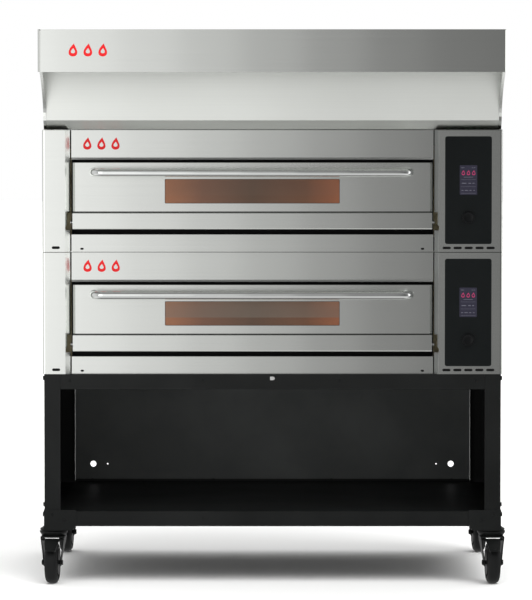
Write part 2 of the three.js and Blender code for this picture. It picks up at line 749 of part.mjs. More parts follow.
// Tray with aprons front and rear, notched at its corners round the posts.
function shelf() {
  const half = STAND_HALF - PLATE - GAP;
  const back = STAND_BACK - 6;
  const line = [
    point(back - 28, SHELF_Z[0]),
    point(back, SHELF_Z[0]),
    point(back, SHELF_Z[1]),
    point(POST_FACE, SHELF_Z[1]),
    point(POST_FACE, SHELF_Z[0]),
    point(POST_FACE + 28, SHELF_Z[0]),
  ];
  const tray = prism('x', folded(line, PLATE), [-half, half]);
  const beyondPost = [[-half - 5, -POST_INNER + GAP], [POST_INNER - GAP, half + 5]];
  const corners = beyondPost.flatMap((x) => [
    block(x, [-5, POST_FACE + POST_DEPTH + 3], [0, 300]),
    block(x, [STAND_BACK - 23, STAND_BACK + 5], [0, 300]),
  ]);
  return cut(tray, ...corners);
}

add(oven, 'stand_front_left_leg', frontLeg(-1), 'painted');
add(oven, 'stand_front_right_leg', frontLeg(1), 'painted');
add(oven, 'stand_left_panel', sidePanel(-1), 'painted');
add(oven, 'stand_right_panel', sidePanel(1), 'painted');
add(oven, 'stand_back_panel', backPanel(), 'painted');
add(oven, 'stand_top_rail', topRail(), 'painted');
add(oven, 'stand_shelf', shelf(), 'painted');

// ---------------------------------------------------------------- castors
const MOUNT_Z = [168.5, 171.3];
const KINGPIN_RADIUS = 6;

// Corner bracket with the castor's top plate and kingpin. side is -1 on the left, and front
// is -1 at the front and 1 at the rear; the piece is drawn round the swivel axis.
function bracket(side, front, swivelY) {
  const face = front < 0 ? -swivelY : DEPTH - swivelY;
  const inward = -front; // from the bracket's face towards the middle of the oven
  const sideThickness = 1.4;
  const outer = side * (STAND_HALF + GAP + sideThickness - CASTOR_X);
  const inner = outer - side * 96.9;
  const bottom = 158.5;
  const top = 220.6;
  const faceThickness = 1.7;
  const span = (a, b) => [Math.min(a, b), Math.max(a, b)];
  const facePlate = prism('y', [
    point(outer, bottom),
    point(inner + side * 12, bottom),
    point(inner, bottom + 18),
    point(inner, top),
    point(outer, top),
  ], span(face, face + inward * faceThickness));
  const mountPlate = block(span(outer, inner + side * 12), span(face, face + inward * 92), MOUNT_Z);
  const sidePlate = block(span(outer, outer - side * sideThickness), span(face, face + inward * 92), [MOUNT_Z[0], top]);
  const kingpin = bar('z', KINGPIN_RADIUS, [146, MOUNT_Z[1]], [0, 0]);
  return join(facePlate, mountPlate, sidePlate, kingpin);
}

// Swivel head, crown and two splayed legs with the axle bolt between them.
function fork(braked) {
  const bore = KINGPIN_RADIUS + 0.4;
  const headProfile = [
    point(bore, FORK_TOP - 1),
    point(34, FORK_TOP - 1),
    point(42, 150),
    point(42, 156),
    point(34, MOUNT_Z[0] - GAP),
    point(bore, MOUNT_Z[0] - GAP),
    point(bore, FORK_TOP - 1),
  ];
  const head = solid(lathe(headProfile, ROUND_SIDES).rotateX(QUARTER));
  const axle = { y: -CASTOR_TRAIL, z: WHEEL_RADIUS, radius: 5, eye: 13 };
  const crownZ = [FORK_TOP - 4, FORK_TOP];
  const legTop = { front: -42, back: 30, inner: 33, thickness: 3 };
  const legInnerAtAxle = 23.5;
  const crown = block([-36, 36], [legTop.front, legTop.back], crownZ);
  const legOutline = [
    point(legTop.front, FORK_TOP),
    ...arc([axle.y, axle.z], axle.eye, [180, 345], 6),
    point(legTop.back, FORK_TOP - 12),
    point(legTop.back, FORK_TOP),
  ];
  const splay = (legTop.inner - legInnerAtAxle) / (FORK_TOP - axle.z);
  const legs = [-1, 1].map((side) => {
    const outline = new THREE.Shape(legOutline);
    const plate = new THREE.ExtrudeGeometry(outline, { depth: legTop.thickness, bevelEnabled: false });
    plate.rotateX(QUARTER).rotateZ(QUARTER).translate(legInnerAtAxle, 0, -axle.z);
    plate.applyMatrix4(new THREE.Matrix4().makeShear(0, 0, 0, 0, splay, 0));
    plate.translate(0, 0, axle.z);
    if (side < 0) plate.scale(-1, 1, 1);
    return solid(plate);
  });
  const boltEnd = legInnerAtAxle + legTop.thickness + 5;
  const bolt = bar('x', axle.radius, [-boltEnd, boltEnd], [axle.y, axle.z]);
  const boltHeads = [[-boltEnd, -boltEnd + 6], [boltEnd - 6, boltEnd]].map((x) => (
    bar('x', 8.5, x, [axle.y, axle.z], 6)));
  const centreBore = bar('z', bore, [FORK_TOP - 10, FORK_TOP + 5], [0, 0], ROUND_SIDES);
  const whole = cut(join(head, crown, ...legs, bolt, ...boltHeads), centreBore);
  if (!braked) return whole;
  return whole.subtract(bar('x', 2.5 + GAP, [-45, 45], [BRAKE_PIVOT.y, BRAKE_PIVOT.z]));
}

// Barrel-crowned tyre on a dished hub, drawn round its own axle.
function wheel() {
  const halfProfile = [
    [17, 5.4],
    [17, 17],
    [11, 20],
    [11, 43],
    [WHEEL_HALF, 47],
    [WHEEL_HALF, 52],
    [16, 58],
    [10, WHEEL_RADIUS - 0.8],
    [4, WHEEL_RADIUS],
  ];
  const right = halfProfile.map(([x, radius]) => point(radius, x));
  const left = halfProfile.map(([x, radius]) => point(radius, -x)).reverse();
  return solid(lathe([...right, ...left, right[0]], ROUND_SIDES).rotateZ(-QUARTER));
}

// Bent pedal that lies over the tyre, narrowing towards its toe, on a cross pin.
function brake() {
  const { y, z } = BRAKE_PIVOT;
  const thickness = 3;
  const line = [point(y, z + 1), point(-66, z + 2.5), point(-104, 103), point(-110, 103)];
  const strip = prism('x', folded(line, -thickness), [-24, 24]);
  const taper = prism('y', [point(-24, 145), point(-12, 95), point(12, 95), point(24, 145)], [-120, 0]);
  return join(
    strip.intersect(taper),
    bar('x', 3.5, [-31.2, 31.2], [y, z], 12),
    bar('x', 2.5, [-35.4, 35.4], [y, z], 12),
  );
}

// Each castor's fork, wheel and brake are turned together about the swivel axis.
for (const [front, swivelY] of [[-1, CASTOR_Y[0]], [1, CASTOR_Y[1]]]) {
  for (const side of [-1, 1]) {
    const name = `castor_${front < 0 ? 'front' : 'rear'}_${side < 0 ? 'left' : 'right'}`;
    const corner = new THREE.Group();
    corner.position.set(side * CASTOR_X, swivelY, 0);
    add(corner, `${name}_bracket`, bracket(side, front, swivelY), 'painted');
    const swivel = new THREE.Group();
    swivel.rotation.z = THREE.MathUtils.degToRad(side * CASTOR_YAW);
    add(swivel, `${name}_fork`, fork(front < 0), 'painted');
    const axle = new THREE.Group();
    axle.position.set(0, -CASTOR_TRAIL, WHEEL_RADIUS);
    add(axle, `${name}_wheel`, wheel(), 'rubber');
    swivel.add(axle);
    if (front < 0) add(swivel, `${name}_brake`, brake(), 'painted');
    corner.add(swivel);
    oven.add(corner);
  }
}

oven.position.y = (HOOD_REACH - DEPTH) / 2;
export default oven;
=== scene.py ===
import json
import math

import bmesh
import bpy
from mathutils import Matrix, Vector


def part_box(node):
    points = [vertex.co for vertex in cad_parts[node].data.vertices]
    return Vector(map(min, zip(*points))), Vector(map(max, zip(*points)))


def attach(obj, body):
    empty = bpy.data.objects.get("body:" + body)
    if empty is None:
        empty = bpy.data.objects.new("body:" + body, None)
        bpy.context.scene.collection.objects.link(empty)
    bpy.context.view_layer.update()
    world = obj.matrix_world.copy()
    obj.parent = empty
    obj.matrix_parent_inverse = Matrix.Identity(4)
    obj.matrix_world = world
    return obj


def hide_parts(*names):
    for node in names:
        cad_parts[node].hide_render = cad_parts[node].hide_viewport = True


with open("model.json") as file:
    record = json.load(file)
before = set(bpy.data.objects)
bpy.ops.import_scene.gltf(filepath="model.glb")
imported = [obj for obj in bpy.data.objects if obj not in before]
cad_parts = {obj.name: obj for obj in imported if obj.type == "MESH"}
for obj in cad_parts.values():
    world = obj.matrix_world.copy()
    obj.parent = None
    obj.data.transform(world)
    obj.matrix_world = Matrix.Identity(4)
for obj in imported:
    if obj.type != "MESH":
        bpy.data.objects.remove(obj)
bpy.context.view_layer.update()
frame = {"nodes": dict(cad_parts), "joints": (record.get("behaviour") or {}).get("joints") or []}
nodes = frame["nodes"]

# Small pieces are drawn in millimetres in a local frame, such as one deck's, and placed by it.
MM = 0.001
DECKS = ("lower", "upper")


class Place:
    """A local frame in millimetres, with its origin in the row frame and a turn about Z."""

    def __init__(self, origin, turn=0.0):
        self.origin = Vector(origin)
        self.matrix = Matrix.Translation(self.origin) @ Matrix.Rotation(turn, 4, "Z") @ Matrix.Scale(MM, 4)

    def span(self, node):
        """A node's extent along x, y and z from this origin, in millimetres, while unturned."""
        return [((a - o) / MM, (b - o) / MM) for a, b, o in zip(*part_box(node), self.origin)]


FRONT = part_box("lower_left_column")[0].y  # front faces of the columns
WHOLE = Place((0, FRONT, 0))
deck_places = {deck: Place((0, FRONT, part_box(f"{deck}_casing")[0].z)) for deck in DECKS}
joints = {joint["name"]: joint for joint in frame["joints"]}


def grown(span, by):
    return span[0] - by, span[1] + by


def middle(span):
    return sum(span) / 2


# ---- shader helpers
def new_node(tree, kind, **settings):
    made = tree.nodes.new(kind)
    for name, value in settings.items():
        setattr(made, name, value)
    return made


def feed(tree, socket, value):
    """Sets a socket to a number or colour, or links it to an output."""
    if isinstance(value, (int, float)):
        socket.default_value = value
    elif isinstance(value, tuple):
        socket.default_value = (*value, 1.0) if len(socket.default_value) == 4 else value
    else:
        tree.links.new(value, socket)


def maths(tree, operation, *inputs):
    made = new_node(tree, "ShaderNodeMath", operation=operation)
    for socket, value in zip(made.inputs, inputs):
        feed(tree, socket, value)
    return made.outputs[0]


def grey(value):
    return (value,) * 3 if isinstance(value, (int, float)) else value


def ramp(tree, factor, stops, interpolation="LINEAR"):
    """A colour ramp; stops are (position, grey or colour)."""
    made = new_node(tree, "ShaderNodeValToRGB")
    made.color_ramp.interpolation = interpolation
    elements = made.color_ramp.elements
    while len(elements) < len(stops):
        elements.new(0.5)
    for element, (position, value) in zip(elements, stops):
        element.position = position
        element.color = (*grey(value), 1.0)
    tree.links.new(factor, made.inputs[0])
    return made.outputs[0]


def mix(tree, factor, first, second, kind="MIX"):
    made = new_node(tree, "ShaderNodeMix", data_type="RGBA", blend_type=kind, clamp_factor=True)
    for index, value in ((0, factor), (6, first), (7, second)):
        feed(tree, made.inputs[index], value)
    return made.outputs[2]


def between(tree, value, lowest, highest, start=0.0, end=1.0):
    made = new_node(tree, "ShaderNodeMapRange")
    for socket, number in (("From Min", start), ("From Max", end), ("To Min", lowest), ("To Max", highest)):
        made.inputs[socket].default_value = number
    tree.links.new(value, made.inputs["Value"])
    return made.outputs[0]


def spot(tree, scale=(1, 1, 1)):
    """Where a point is on its own piece, in scaled metres."""
    mapping = new_node(tree, "ShaderNodeMapping")
    mapping.inputs["Scale"].default_value = scale
    tree.links.new(new_node(tree, "ShaderNodeTexCoord").outputs["Object"], mapping.inputs[0])
    return mapping.outputs[0]


def split(tree, vector):
    made = new_node(tree, "ShaderNodeSeparateXYZ")
    tree.links.new(vector, made.inputs[0])
    return made.outputs


def texture(tree, kind, scale, where=None):
    made = new_node(tree, f"ShaderNodeTex{kind}")
    made.inputs["Scale"].default_value = scale
    tree.links.new(where or spot(tree), made.inputs["Vector"])
    return made


def noise(tree, scale, detail=3.0, where=None):
    made = texture(tree, "Noise", scale, where)
    made.inputs["Detail"].default_value = detail
    return made.outputs[0]


def bump(tree, shader, height, strength, distance):
    made = new_node(tree, "ShaderNodeBump")
    made.inputs["Strength"].default_value = strength
    made.inputs["Distance"].default_value = distance
    tree.links.new(height, made.inputs["Height"])
    tree.links.new(made.outputs[0], shader.inputs["Normal"])


def principled(name, colour, roughness, metallic=0.0, **others):
    made = bpy.data.materials.new(name)
    made.use_nodes = True
    shader = made.node_tree.nodes["Principled BSDF"]
    shader.inputs["Base Color"].default_value = (*grey(colour), 1)
    shader.inputs["Roughness"].default_value = roughness
    shader.inputs["Metallic"].default_value = metallic
    for socket, value in others.items():
        shader.inputs[socket.replace("_", " ")].default_value = value
    return made, made.node_tree, shader


def wire(shader, **outputs):
    """Links outputs to a shader's inputs, with underscores for the spaces in their names."""
    for name, output in outputs.items():
        shader.id_data.links.new(output, shader.inputs[name.replace("_", " ")])


# ---- materials
def lying_flat(tree):
    """One on level faces and nought on upright ones."""
    _, _, upward = split(tree, new_node(tree, "ShaderNodeNewGeometry").outputs["True Normal"])
    return maths(tree, "GREATER_THAN", maths(tree, "ABSOLUTE", upward), 0.75)


def grain_place(tree, along=2.0, across=1500.0):
    """Stretched along the rolling direction: level on upright faces, sideways on flat ones."""
    x, y, z = split(tree, spot(tree))
    flat = lying_flat(tree)
    upright = maths(tree, "SUBTRACT", 1.0, flat)
    line = maths(tree, "ADD", maths(tree, "MULTIPLY", z, upright), maths(tree, "MULTIPLY", y, flat))
    made = new_node(tree, "ShaderNodeCombineXYZ")
    feed(tree, made.inputs[0], maths(tree, "MULTIPLY", x, along))
    feed(tree, made.inputs[1], maths(tree, "MULTIPLY", maths(tree, "MULTIPLY", y, upright), along))
    feed(tree, made.inputs[2], maths(tree, "MULTIPLY", line, across))
    return made.outputs[0]


def brushed(name, colour, roughness, contrast=0.035, painted_shades=()):
    """Rolled and brushed stainless sheet: fine streaks, faint bands, smears and hand marks.
    Each painted shade is an axis number, a range along it in metres and the dark colour painted there as
    shade, a rougher non-metal in place of the metal."""
    made, tree, shader = principled(name, colour, roughness, 1.0)
    fine = noise(tree, 1.0, 4.0, grain_place(tree))
    bands = noise(tree, 1.0, 2.0, grain_place(tree, 0.7, 260.0))
    marks = noise(tree, 5.0, 4.0)
    streaks = maths(tree, "ADD", maths(tree, "MULTIPLY", fine, 0.85), maths(tree, "MULTIPLY", bands, 0.15))
    tint = between(tree, streaks, 1.0 - contrast, 1.0 + contrast, 0.25, 0.75)
    metal = mix(tree, 1.0, colour, tint, "MULTIPLY")
    gloss = maths(tree, "ADD", between(tree, streaks, roughness - 0.03, roughness + 0.03),
                  between(tree, marks, -0.035, 0.035))
    # Painted shade: inside each range the sheet becomes a flat, rougher non-metal in the given dark colour.
    if painted_shades:
        where = split(tree, spot(tree))
        bare = 1.0
        for axis, low, high, shade_colour in painted_shades:
            along = where[axis]
            shaded = maths(tree, "MULTIPLY", maths(tree, "GREATER_THAN", along, low),
                           maths(tree, "LESS_THAN", along, high))
            metal = mix(tree, shaded, metal, shade_colour)
            bare = maths(tree, "MULTIPLY", bare, maths(tree, "SUBTRACT", 1.0, shaded))
        wire(shader, Metallic=bare)
        gloss = maths(tree, "ADD", gloss, between(tree, bare, 0.35, 0.0))
        wire(shader, Specular_IOR_Level=between(tree, bare, 0.15, 0.5))
    wire(shader, Base_Color=metal, Roughness=gloss)
    round_z, round_y = (new_node(tree, "ShaderNodeTangent", direction_type="RADIAL", axis=axis)
                        for axis in "ZY")
    grain_way = new_node(tree, "ShaderNodeMix", data_type="VECTOR")
    for index, value in ((0, lying_flat(tree)), (4, round_z.outputs[0]), (5, round_y.outputs[0])):
        tree.links.new(value, grain_way.inputs[index])
    wire(shader, Tangent=grain_way.outputs[1])
    shader.inputs["Anisotropic"].default_value = 0.6
    shader.inputs["Anisotropic Rotation"].default_value = 0.25
    bump(tree, shader, fine, 0.25, 0.00001)
    return made


def polished(name="polished_tube"):
    made, tree, shader = principled(name, (0.84, 0.855, 0.84), 0.09, 1.0)
    drawn = noise(tree, 1.0, 3.0, spot(tree, (6, 900, 900)))
    smears = noise(tree, 24.0, 3.0)
    wire(shader, Roughness=between(tree, smears, 0.06, 0.13))
    tint = between(tree, drawn, 0.96, 1.04)
    wire(shader, Base_Color=mix(tree, 1.0, (0.84, 0.855, 0.84), tint, "MULTIPLY"))
    return made


def zinc(name="zinc_plate", colour=(0.52, 0.53, 0.52)):
    made, tree, shader = principled(name, colour, 0.32, 1.0)
    spangle = noise(tree, 900.0, 2.0)
    wire(shader, Roughness=between(tree, spangle, 0.24, 0.42))
    wire(shader, Base_Color=mix(tree, spangle, (0.42, 0.43, 0.42), (0.62, 0.63, 0.61)))
    return made


def powder_coat(name, depth, sheen, roughness):
    """Fine orange peel, a little paler and shinier where hands and tools have rubbed it."""
    made, tree, shader = principled(name, depth, roughness, Specular_IOR_Level=sheen)
    peel = noise(tree, 1600.0, 2.0)
    rubbed = noise(tree, 5.0, 4.0)
    colour = mix(tree, between(tree, rubbed, 0.0, 1.0, 0.4, 0.7), (depth * 0.92, depth, depth * 0.98),
                 (depth * 1.3, depth * 1.4, depth * 1.37))
    speckle = between(tree, peel, 0.82, 1.18, 0.3, 0.7)
    wire(shader, Base_Color=mix(tree, 1.0, colour, speckle, "MULTIPLY"))
    wire(shader, Roughness=between(tree, rubbed, roughness - 0.06, roughness + 0.08))
    bump(tree, shader, peel, 0.3, 0.00008)
    return made


def black_glass(name="black_glass"):
    made, tree, shader = principled(name, 0.0055, 0.06, Specular_IOR_Level=0.22)
    film = noise(tree, 14.0, 4.0)
    wire(shader, Roughness=between(tree, film, 0.04, 0.12, 0.35, 0.7))
    wire(shader, Base_Color=mix(tree, film, (0.005, 0.0062, 0.0064), (0.0068, 0.0078, 0.008)))
    return made


def oven_window(deck, pale_reflection):
    """Heat-reflecting pane: amber at its ends and browner in the middle, which is painted light. A painted
    reflection pales it above the level of the hearth, which shows as a line across the glass."""
    made, tree, shader = principled(f"{deck}_amber_window", (0.14, 0.07, 0.045), 0.12)
    x_span, _, z_span = WHOLE.span(f"{deck}_door_glass")
    x, _, z = split(tree, spot(tree))
    along = between(tree, x, 0.0, 1.0, x_span[0] * MM, x_span[1] * MM)
    # Painted light: the amber is paler towards the pane's ends and browner in the middle.
    amber = ramp(tree, along, [(0.0, (0.27, 0.108, 0.05)), (0.22, (0.145, 0.068, 0.04)),
                               (0.5, (0.088, 0.05, 0.031)), (0.8, (0.125, 0.057, 0.031)),
                               (1.0, (0.24, 0.085, 0.04))])
    rise = between(tree, z, 0.0, 1.0, z_span[0] * MM, z_span[1] * MM)
    # Painted reflection: a paler grey band above the hearth's level, fading towards the top.
    line = ramp(tree, rise, [(0.0, 0.0), (0.335, 0.0), (0.36, pale_reflection), (0.7, pale_reflection * 0.9), (1.0, pale_reflection * 0.55)])
    amber = mix(tree, line, amber, (0.15, 0.128, 0.104))
    cloud = between(tree, noise(tree, 9.0, 4.0), 0.74, 0.9)
    wire(shader, Base_Color=mix(tree, 1.0, amber, cloud, "MULTIPLY"))
    wire(shader, Roughness=between(tree, noise(tree, 30.0, 3.0), 0.08, 0.2))
    return made


def moulded(name, colour, roughness=0.5, texture=1800.0, sheen=0.4):
    """Moulded plastic or rubber with a fine spark-eroded texture."""
    made, tree, shader = principled(name, colour, roughness, Specular_IOR_Level=sheen)
    grit = noise(tree, texture, 2.0)
    wire(shader, Roughness=between(tree, grit, roughness - 0.08, roughness + 0.08))
    dust = between(tree, noise(tree, 22.0, 4.0), 0.8, 1.25)
    wire(shader, Base_Color=mix(tree, 1.0, grey(colour), dust, "MULTIPLY"))
    bump(tree, shader, grit, 0.25, 0.00006)
    return made


def enamel(name, colour):
    made, tree, shader = principled(name, colour, 0.4, Specular_IOR_Level=0.25)
    depth = between(tree, noise(tree, 240.0, 3.0), 0.93, 1.07)
    wire(shader, Base_Color=mix(tree, 1.0, colour, depth, "MULTIPLY"))
    return made


def lit_screen(name, colour, glow):
    """Screen pixels: a faint grid over an even glow."""
    made, tree, shader = principled(name, colour, 0.12)
    cells = texture(tree, "Checker", 1600)
    light = mix(tree, cells.outputs[1], grey(glow), tuple(v * 0.86 for v in grey(glow)))
    wire(shader, Emission_Color=light)
    shader.inputs["Emission Strength"].default_value = 1.0
    return made


def fibrous(name, light, dark, scale=60.0, rough=0.95, depth=0.004):
    made, tree, shader = principled(name, light, rough)
    tufts = noise(tree, scale, 8.0)
    wire(shader, Base_Color=mix(tree, tufts, dark, light))
    bump(tree, shader, tufts, 0.8, depth)
    return made


def firebrick(name="firebrick"):
    """Pale cast refractory, scorched in patches, with open pores."""
    made, tree, shader = principled(name, (0.5, 0.4, 0.29), 0.93)
    pores = texture(tree, "Voronoi", 260)
    pits = between(tree, pores.outputs["Distance"], 0.55, 1.0, 0.0, 0.3)
    scorch = mix(tree, between(tree, noise(tree, 7.0, 5.0), 0.0, 1.0, 0.42, 0.72),
                 (0.55, 0.44, 0.32), (0.24, 0.17, 0.11))
    wire(shader, Base_Color=mix(tree, 1.0, scorch, pits, "MULTIPLY"))
    bump(tree, shader, pits, 0.5, 0.0006)
    return made


def aluminised(name="aluminised_steel"):
    """Dip-coated oven liner: crystal spangle, browned by heat."""
    made, tree, shader = principled(name, 0.45, 0.42, 0.9)
    spangle = texture(tree, "Voronoi", 110)
    wire(shader, Roughness=between(tree, spangle.outputs["Distance"], 0.34, 0.5))
    heat = between(tree, noise(tree, 4.0, 4.0), 0.0, 1.0, 0.4, 0.75)
    wire(shader, Base_Color=mix(tree, heat, (0.46, 0.46, 0.45), (0.3, 0.24, 0.17)))
    return made


def heating_sheath(name="heating_sheath"):
    made, tree, shader = principled(name, 0.06, 0.5, 0.7)
    bands = noise(tree, 30.0, 4.0)
    wire(shader, Base_Color=mix(tree, bands, (0.045, 0.04, 0.042), (0.12, 0.085, 0.07)))
    wire(shader, Roughness=between(tree, bands, 0.4, 0.65))
    return made


def circuit(name="circuit_board"):
    """Green solder mask over a grid of tracks."""
    made, tree, shader = principled(name, (0.02, 0.1, 0.04), 0.35)
    tracks = texture(tree, "Brick", 120)
    for socket, value in (("Mortar Size", 0.06), ("Mortar", (0.05, 0.2, 0.08)),
                          ("Color1", (0.012, 0.075, 0.03)), ("Color2", (0.016, 0.095, 0.038))):
        feed(tree, tracks.inputs[socket], value)
    wire(shader, Base_Color=tracks.outputs[0])
    return made


STEEL_TONE = (0.80, 0.815, 0.785)
EAR_REACH = 10  # the hinge ears stand this far in front of the frame's face
FRAME_BEVEL = 8
# the near black of painted shade
SHADE_BLACK = (0.007, 0.007, 0.0075)
frame_y = WHOLE.span("upper_front_frame")[1][0] + EAR_REACH
door_y = WHOLE.span("upper_door")[1]
steel = brushed("brushed_sheet", STEEL_TONE, 0.2)
bevel_x = [WHOLE.span("upper_control_column")[0][0] + reach for reach in (-1.0, 12.0)]


def behind(start, end, colour):
    """A painted shade over a range of depths, in millimetres behind the column faces."""
    return 1, FRONT + start * MM, FRONT + end * MM, colour


# Painted shade on the front sheet: the hinge ears in front of its face and the recess behind its bevel are
# painted near black, and the bevel a flat grey as a painted reflection of the dark door top below it.
frame_steel = brushed("front_sheet", STEEL_TONE, 0.2, painted_shades=(
    behind(frame_y - EAR_REACH - 2, frame_y - 0.6, SHADE_BLACK),
    behind(frame_y + 0.5, frame_y + FRAME_BEVEL, (0.3, 0.305, 0.3)),
    behind(frame_y + FRAME_BEVEL, frame_y + 50, SHADE_BLACK)))
# Painted shade: the door sheet's flanks behind its front face are painted dark grey for the dark gap round
# the door.
door_steel = brushed("door_sheet", STEEL_TONE, 0.2, painted_shades=(
    behind(door_y[0] + 7.5, door_y[1] - 0.5, (0.075, 0.076, 0.074)),))
# Painted shade: the control column's left bevel is painted a flat dark grey.
column_steel = brushed("control_sheet", STEEL_TONE, 0.2, painted_shades=(
    (0, bevel_x[0] * MM, bevel_x[1] * MM, (0.16, 0.165, 0.16)),))
satin_steel = brushed("satin_sheet", (0.83, 0.845, 0.81), 0.38, 0.03)
rail_steel = brushed("bar_sheet", STEEL_TONE, 0.18)
tube_steel = polished()
bright_plug = brushed("bright_plug", (0.93, 0.93, 0.92), 0.45, 0.02)
plated = zinc()
paint = powder_coat("black_powder_coat", 0.008, 0.16, 0.42)
# Painted light: the back panel's black powder coat is made paler and duller than the rest of the stand's, for
# the light it catches.
lit_panel_paint = powder_coat("back_panel_painted_light", 0.075, 0.5, 0.5)
glass = black_glass()
# The lower pane takes a strong painted reflection, the upper a faint one.
windows = {"lower": oven_window("lower", 0.5), "upper": oven_window("upper", 0.06)}
plastic = moulded("matt_plastic", (0.0042, 0.0046, 0.005), 0.36, sheen=0.14)
seal_rubber = moulded("silicone_seal", (0.03, 0.022, 0.018), 0.7, 900.0)
tyre_rubber = moulded("tyre_rubber", (0.0075, 0.008, 0.008), 0.6, 1200.0, sheen=0.22)
hub_plastic = moulded("hub_plastic", (0.0075, 0.008, 0.008), 0.46, sheen=0.22)
red_enamel = enamel("red_enamel", (0.6, 0.006, 0.008))
# Painted shade: near-black sheets behind the vent slots and drains.
vent_shade_black = fibrous("vent_shade_material", (0.004, 0.004, 0.004), (0.001, 0.001, 0.001), 900.0, 1.0, 0.0004)
screen = lit_screen("screen_glass", (0.012, 0.011, 0.018), (0.016, 0.0155, 0.026))
screen_red = lit_screen("screen_red", (0.1, 0.01, 0.03), (0.36, 0.035, 0.11))
screen_grey = lit_screen("screen_grey", (0.05, 0.05, 0.06), (0.07, 0.07, 0.088))
liner = aluminised()
brick = firebrick()
sheath = heating_sheath()
board = circuit()
wool = fibrous("mineral_wool", (0.62, 0.55, 0.36), (0.34, 0.29, 0.17))
rope = fibrous("glass_rope", (0.42, 0.4, 0.36), (0.16, 0.15, 0.14), 700.0, 0.9, 0.0006)


# ---- shape helpers
AXES = {
    "x": lambda u, v, w: (w, u, v),
    "y": lambda u, v, w: (u, w, v),
    "z": lambda u, v, w: (u, v, w),
}
OUTWARD = {"x": Vector((1, 0, 0)), "y": Vector((0, 1, 0)), "z": Vector((0, 0, 1))}


def arc(centre, radius, start, end, steps):
    """Points round (u, v), from one angle to another in degrees."""
    for i in range(steps + 1):
        angle = math.radians(start + (end - start) * i / steps)
        yield centre[0] + radius * math.cos(angle), centre[1] + radius * math.sin(angle)


def rounded(u_span, v_span, radius, steps=6):
    """A rectangle with round corners, from its lower right."""
    (u0, u1), (v0, v1) = u_span, v_span
    corners = ((u1 - radius, v0 + radius, -90), (u1 - radius, v1 - radius, 0),
               (u0 + radius, v1 - radius, 90), (u0 + radius, v0 + radius, 180))
    return [point for u, v, start in corners for point in arc((u, v), radius, start, start + 90, steps)]


def polygon(centre, radius, sides, turn=0.0):
    return list(arc(centre, radius, turn, turn + 360 - 360 / sides, sides - 1))


def prism(shape, outline, axis, span):
    """Pushes an outline along an axis: (y, z) for x, (x, z) for y and (x, y) for z."""
    ends = [[shape.verts.new(AXES[axis](u, v, w)) for u, v in outline] for w in span]
    for ring in ends:
        shape.faces.new(ring)
    near, far = ends
    for i in range(len(near)):
        shape.faces.new((near[i - 1], near[i], far[i], far[i - 1]))


def band(shape, outer, inner, axis, span):
    """A flat ring between two outlines with the same number of points."""
    loops = [[shape.verts.new(AXES[axis](u, v, w)) for u, v in line]
             for line, w in ((outer, span[0]), (outer, span[1]), (inner, span[1]), (inner, span[0]))]
    for first, second in zip(loops, loops[1:] + loops[:1]):
        for i in range(len(first)):
            shape.faces.new((first[i - 1], first[i], second[i], second[i - 1]))


def lathe(shape, profile, axis, centre, sides=48):
    """Turns (radius, height) points about an axis through (u, v). Radius 0 closes an end;
    a profile that ends where it starts makes a ring."""
    rows = []
    closed = profile[0] == profile[-1]
    for radius, height in profile[:-1] if closed else profile:
        if radius == 0:
            rows.append([shape.verts.new(AXES[axis](*centre, height))] * sides)
        else:
            rows.append([shape.verts.new(AXES[axis](u, v, height))
                         for u, v in polygon(centre, radius, sides)])
    for first, second in zip(rows, rows[1:] + (rows[:1] if closed else [])):
        for i in range(sides):
            corners = dict.fromkeys((first[i - 1], first[i], second[i], second[i - 1]))
            if len(corners) > 2:
                shape.faces.new(tuple(corners))


def raised(profile, face, outward):
    """A profile whose heights were measured from a face."""
    return [(radius, face + outward * height) for radius, height in profile]


def disc(radius, low, high):
    return [(0, low), (radius, low), (radius, high), (0, high)]


def ring(inner, outer, low, high):
    return [(inner, low), (outer, low), (outer, high), (inner, high), (inner, low)]


def mirrored(half, *crest):
    """A closed profile from one half of it, with any points that lie on the plane between."""
    return [*half, *crest, *((radius, -height) for radius, height in reversed(half)), half[0]]


def sweep(shape, path, radius, up, sides=24, loop=False):
    """A round bar along a flat path, with up the normal of the path's plane."""
    path = [Vector(point) for point in path]
    rings = []
    for i, point in enumerate(path):
        before = path[i - 1] if i or loop else point
        after = path[(i + 1) % len(path)] if i + 1 < len(path) or loop else point
        sideways = (after - before).normalized().cross(up)
        rings.append([shape.verts.new(point + (up * v + sideways * u) * radius)
                      for u, v in polygon((0, 0), 1, sides)])
    for first, second in zip(rings, rings[1:] + (rings[:1] if loop else [])):
        for i in range(sides):
            shape.faces.new((first[i - 1], first[i], second[i], second[i - 1]))
    if not loop:
        shape.faces.new(rings[0])
        shape.faces.new(rings[-1])


def add_object(name, data):
    made = bpy.data.objects.new(name, data)
    bpy.context.collection.objects.link(made)
    return made


def round_edges(made, width, segments, angle):
    """Rounds the edges that bend by more than an angle in degrees; the width is in millimetres."""
    edges = made.modifiers.new("edges", "BEVEL")
    edges.width = width * MM
    edges.segments = segments
    edges.limit_method = "ANGLE"
    edges.angle_limit = math.radians(angle)


def piece(name, shape, place, material, body, replaced=(), sharp=35, bevel=0.0, levels=2):
    """Turns a drawn shape into a finished piece that rides on a body."""
    bmesh.ops.remove_doubles(shape, verts=shape.verts, dist=1e-4)
    bmesh.ops.recalc_face_normals(shape, faces=shape.faces)
    shape.transform(place.matrix)
    mesh = bpy.data.meshes.new(name)
    shape.to_mesh(mesh)
    shape.free()
    mesh.materials.append(material)
    made = add_object(name, mesh)
    if bevel:
        round_edges(made, bevel, levels, sharp)
    mesh.polygons.foreach_set("use_smooth", [True] * len(mesh.polygons))
    mesh.set_sharp_from_angle(angle=math.radians(sharp))
    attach(made, body)
    if replaced:
        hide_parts(*replaced)
    return made


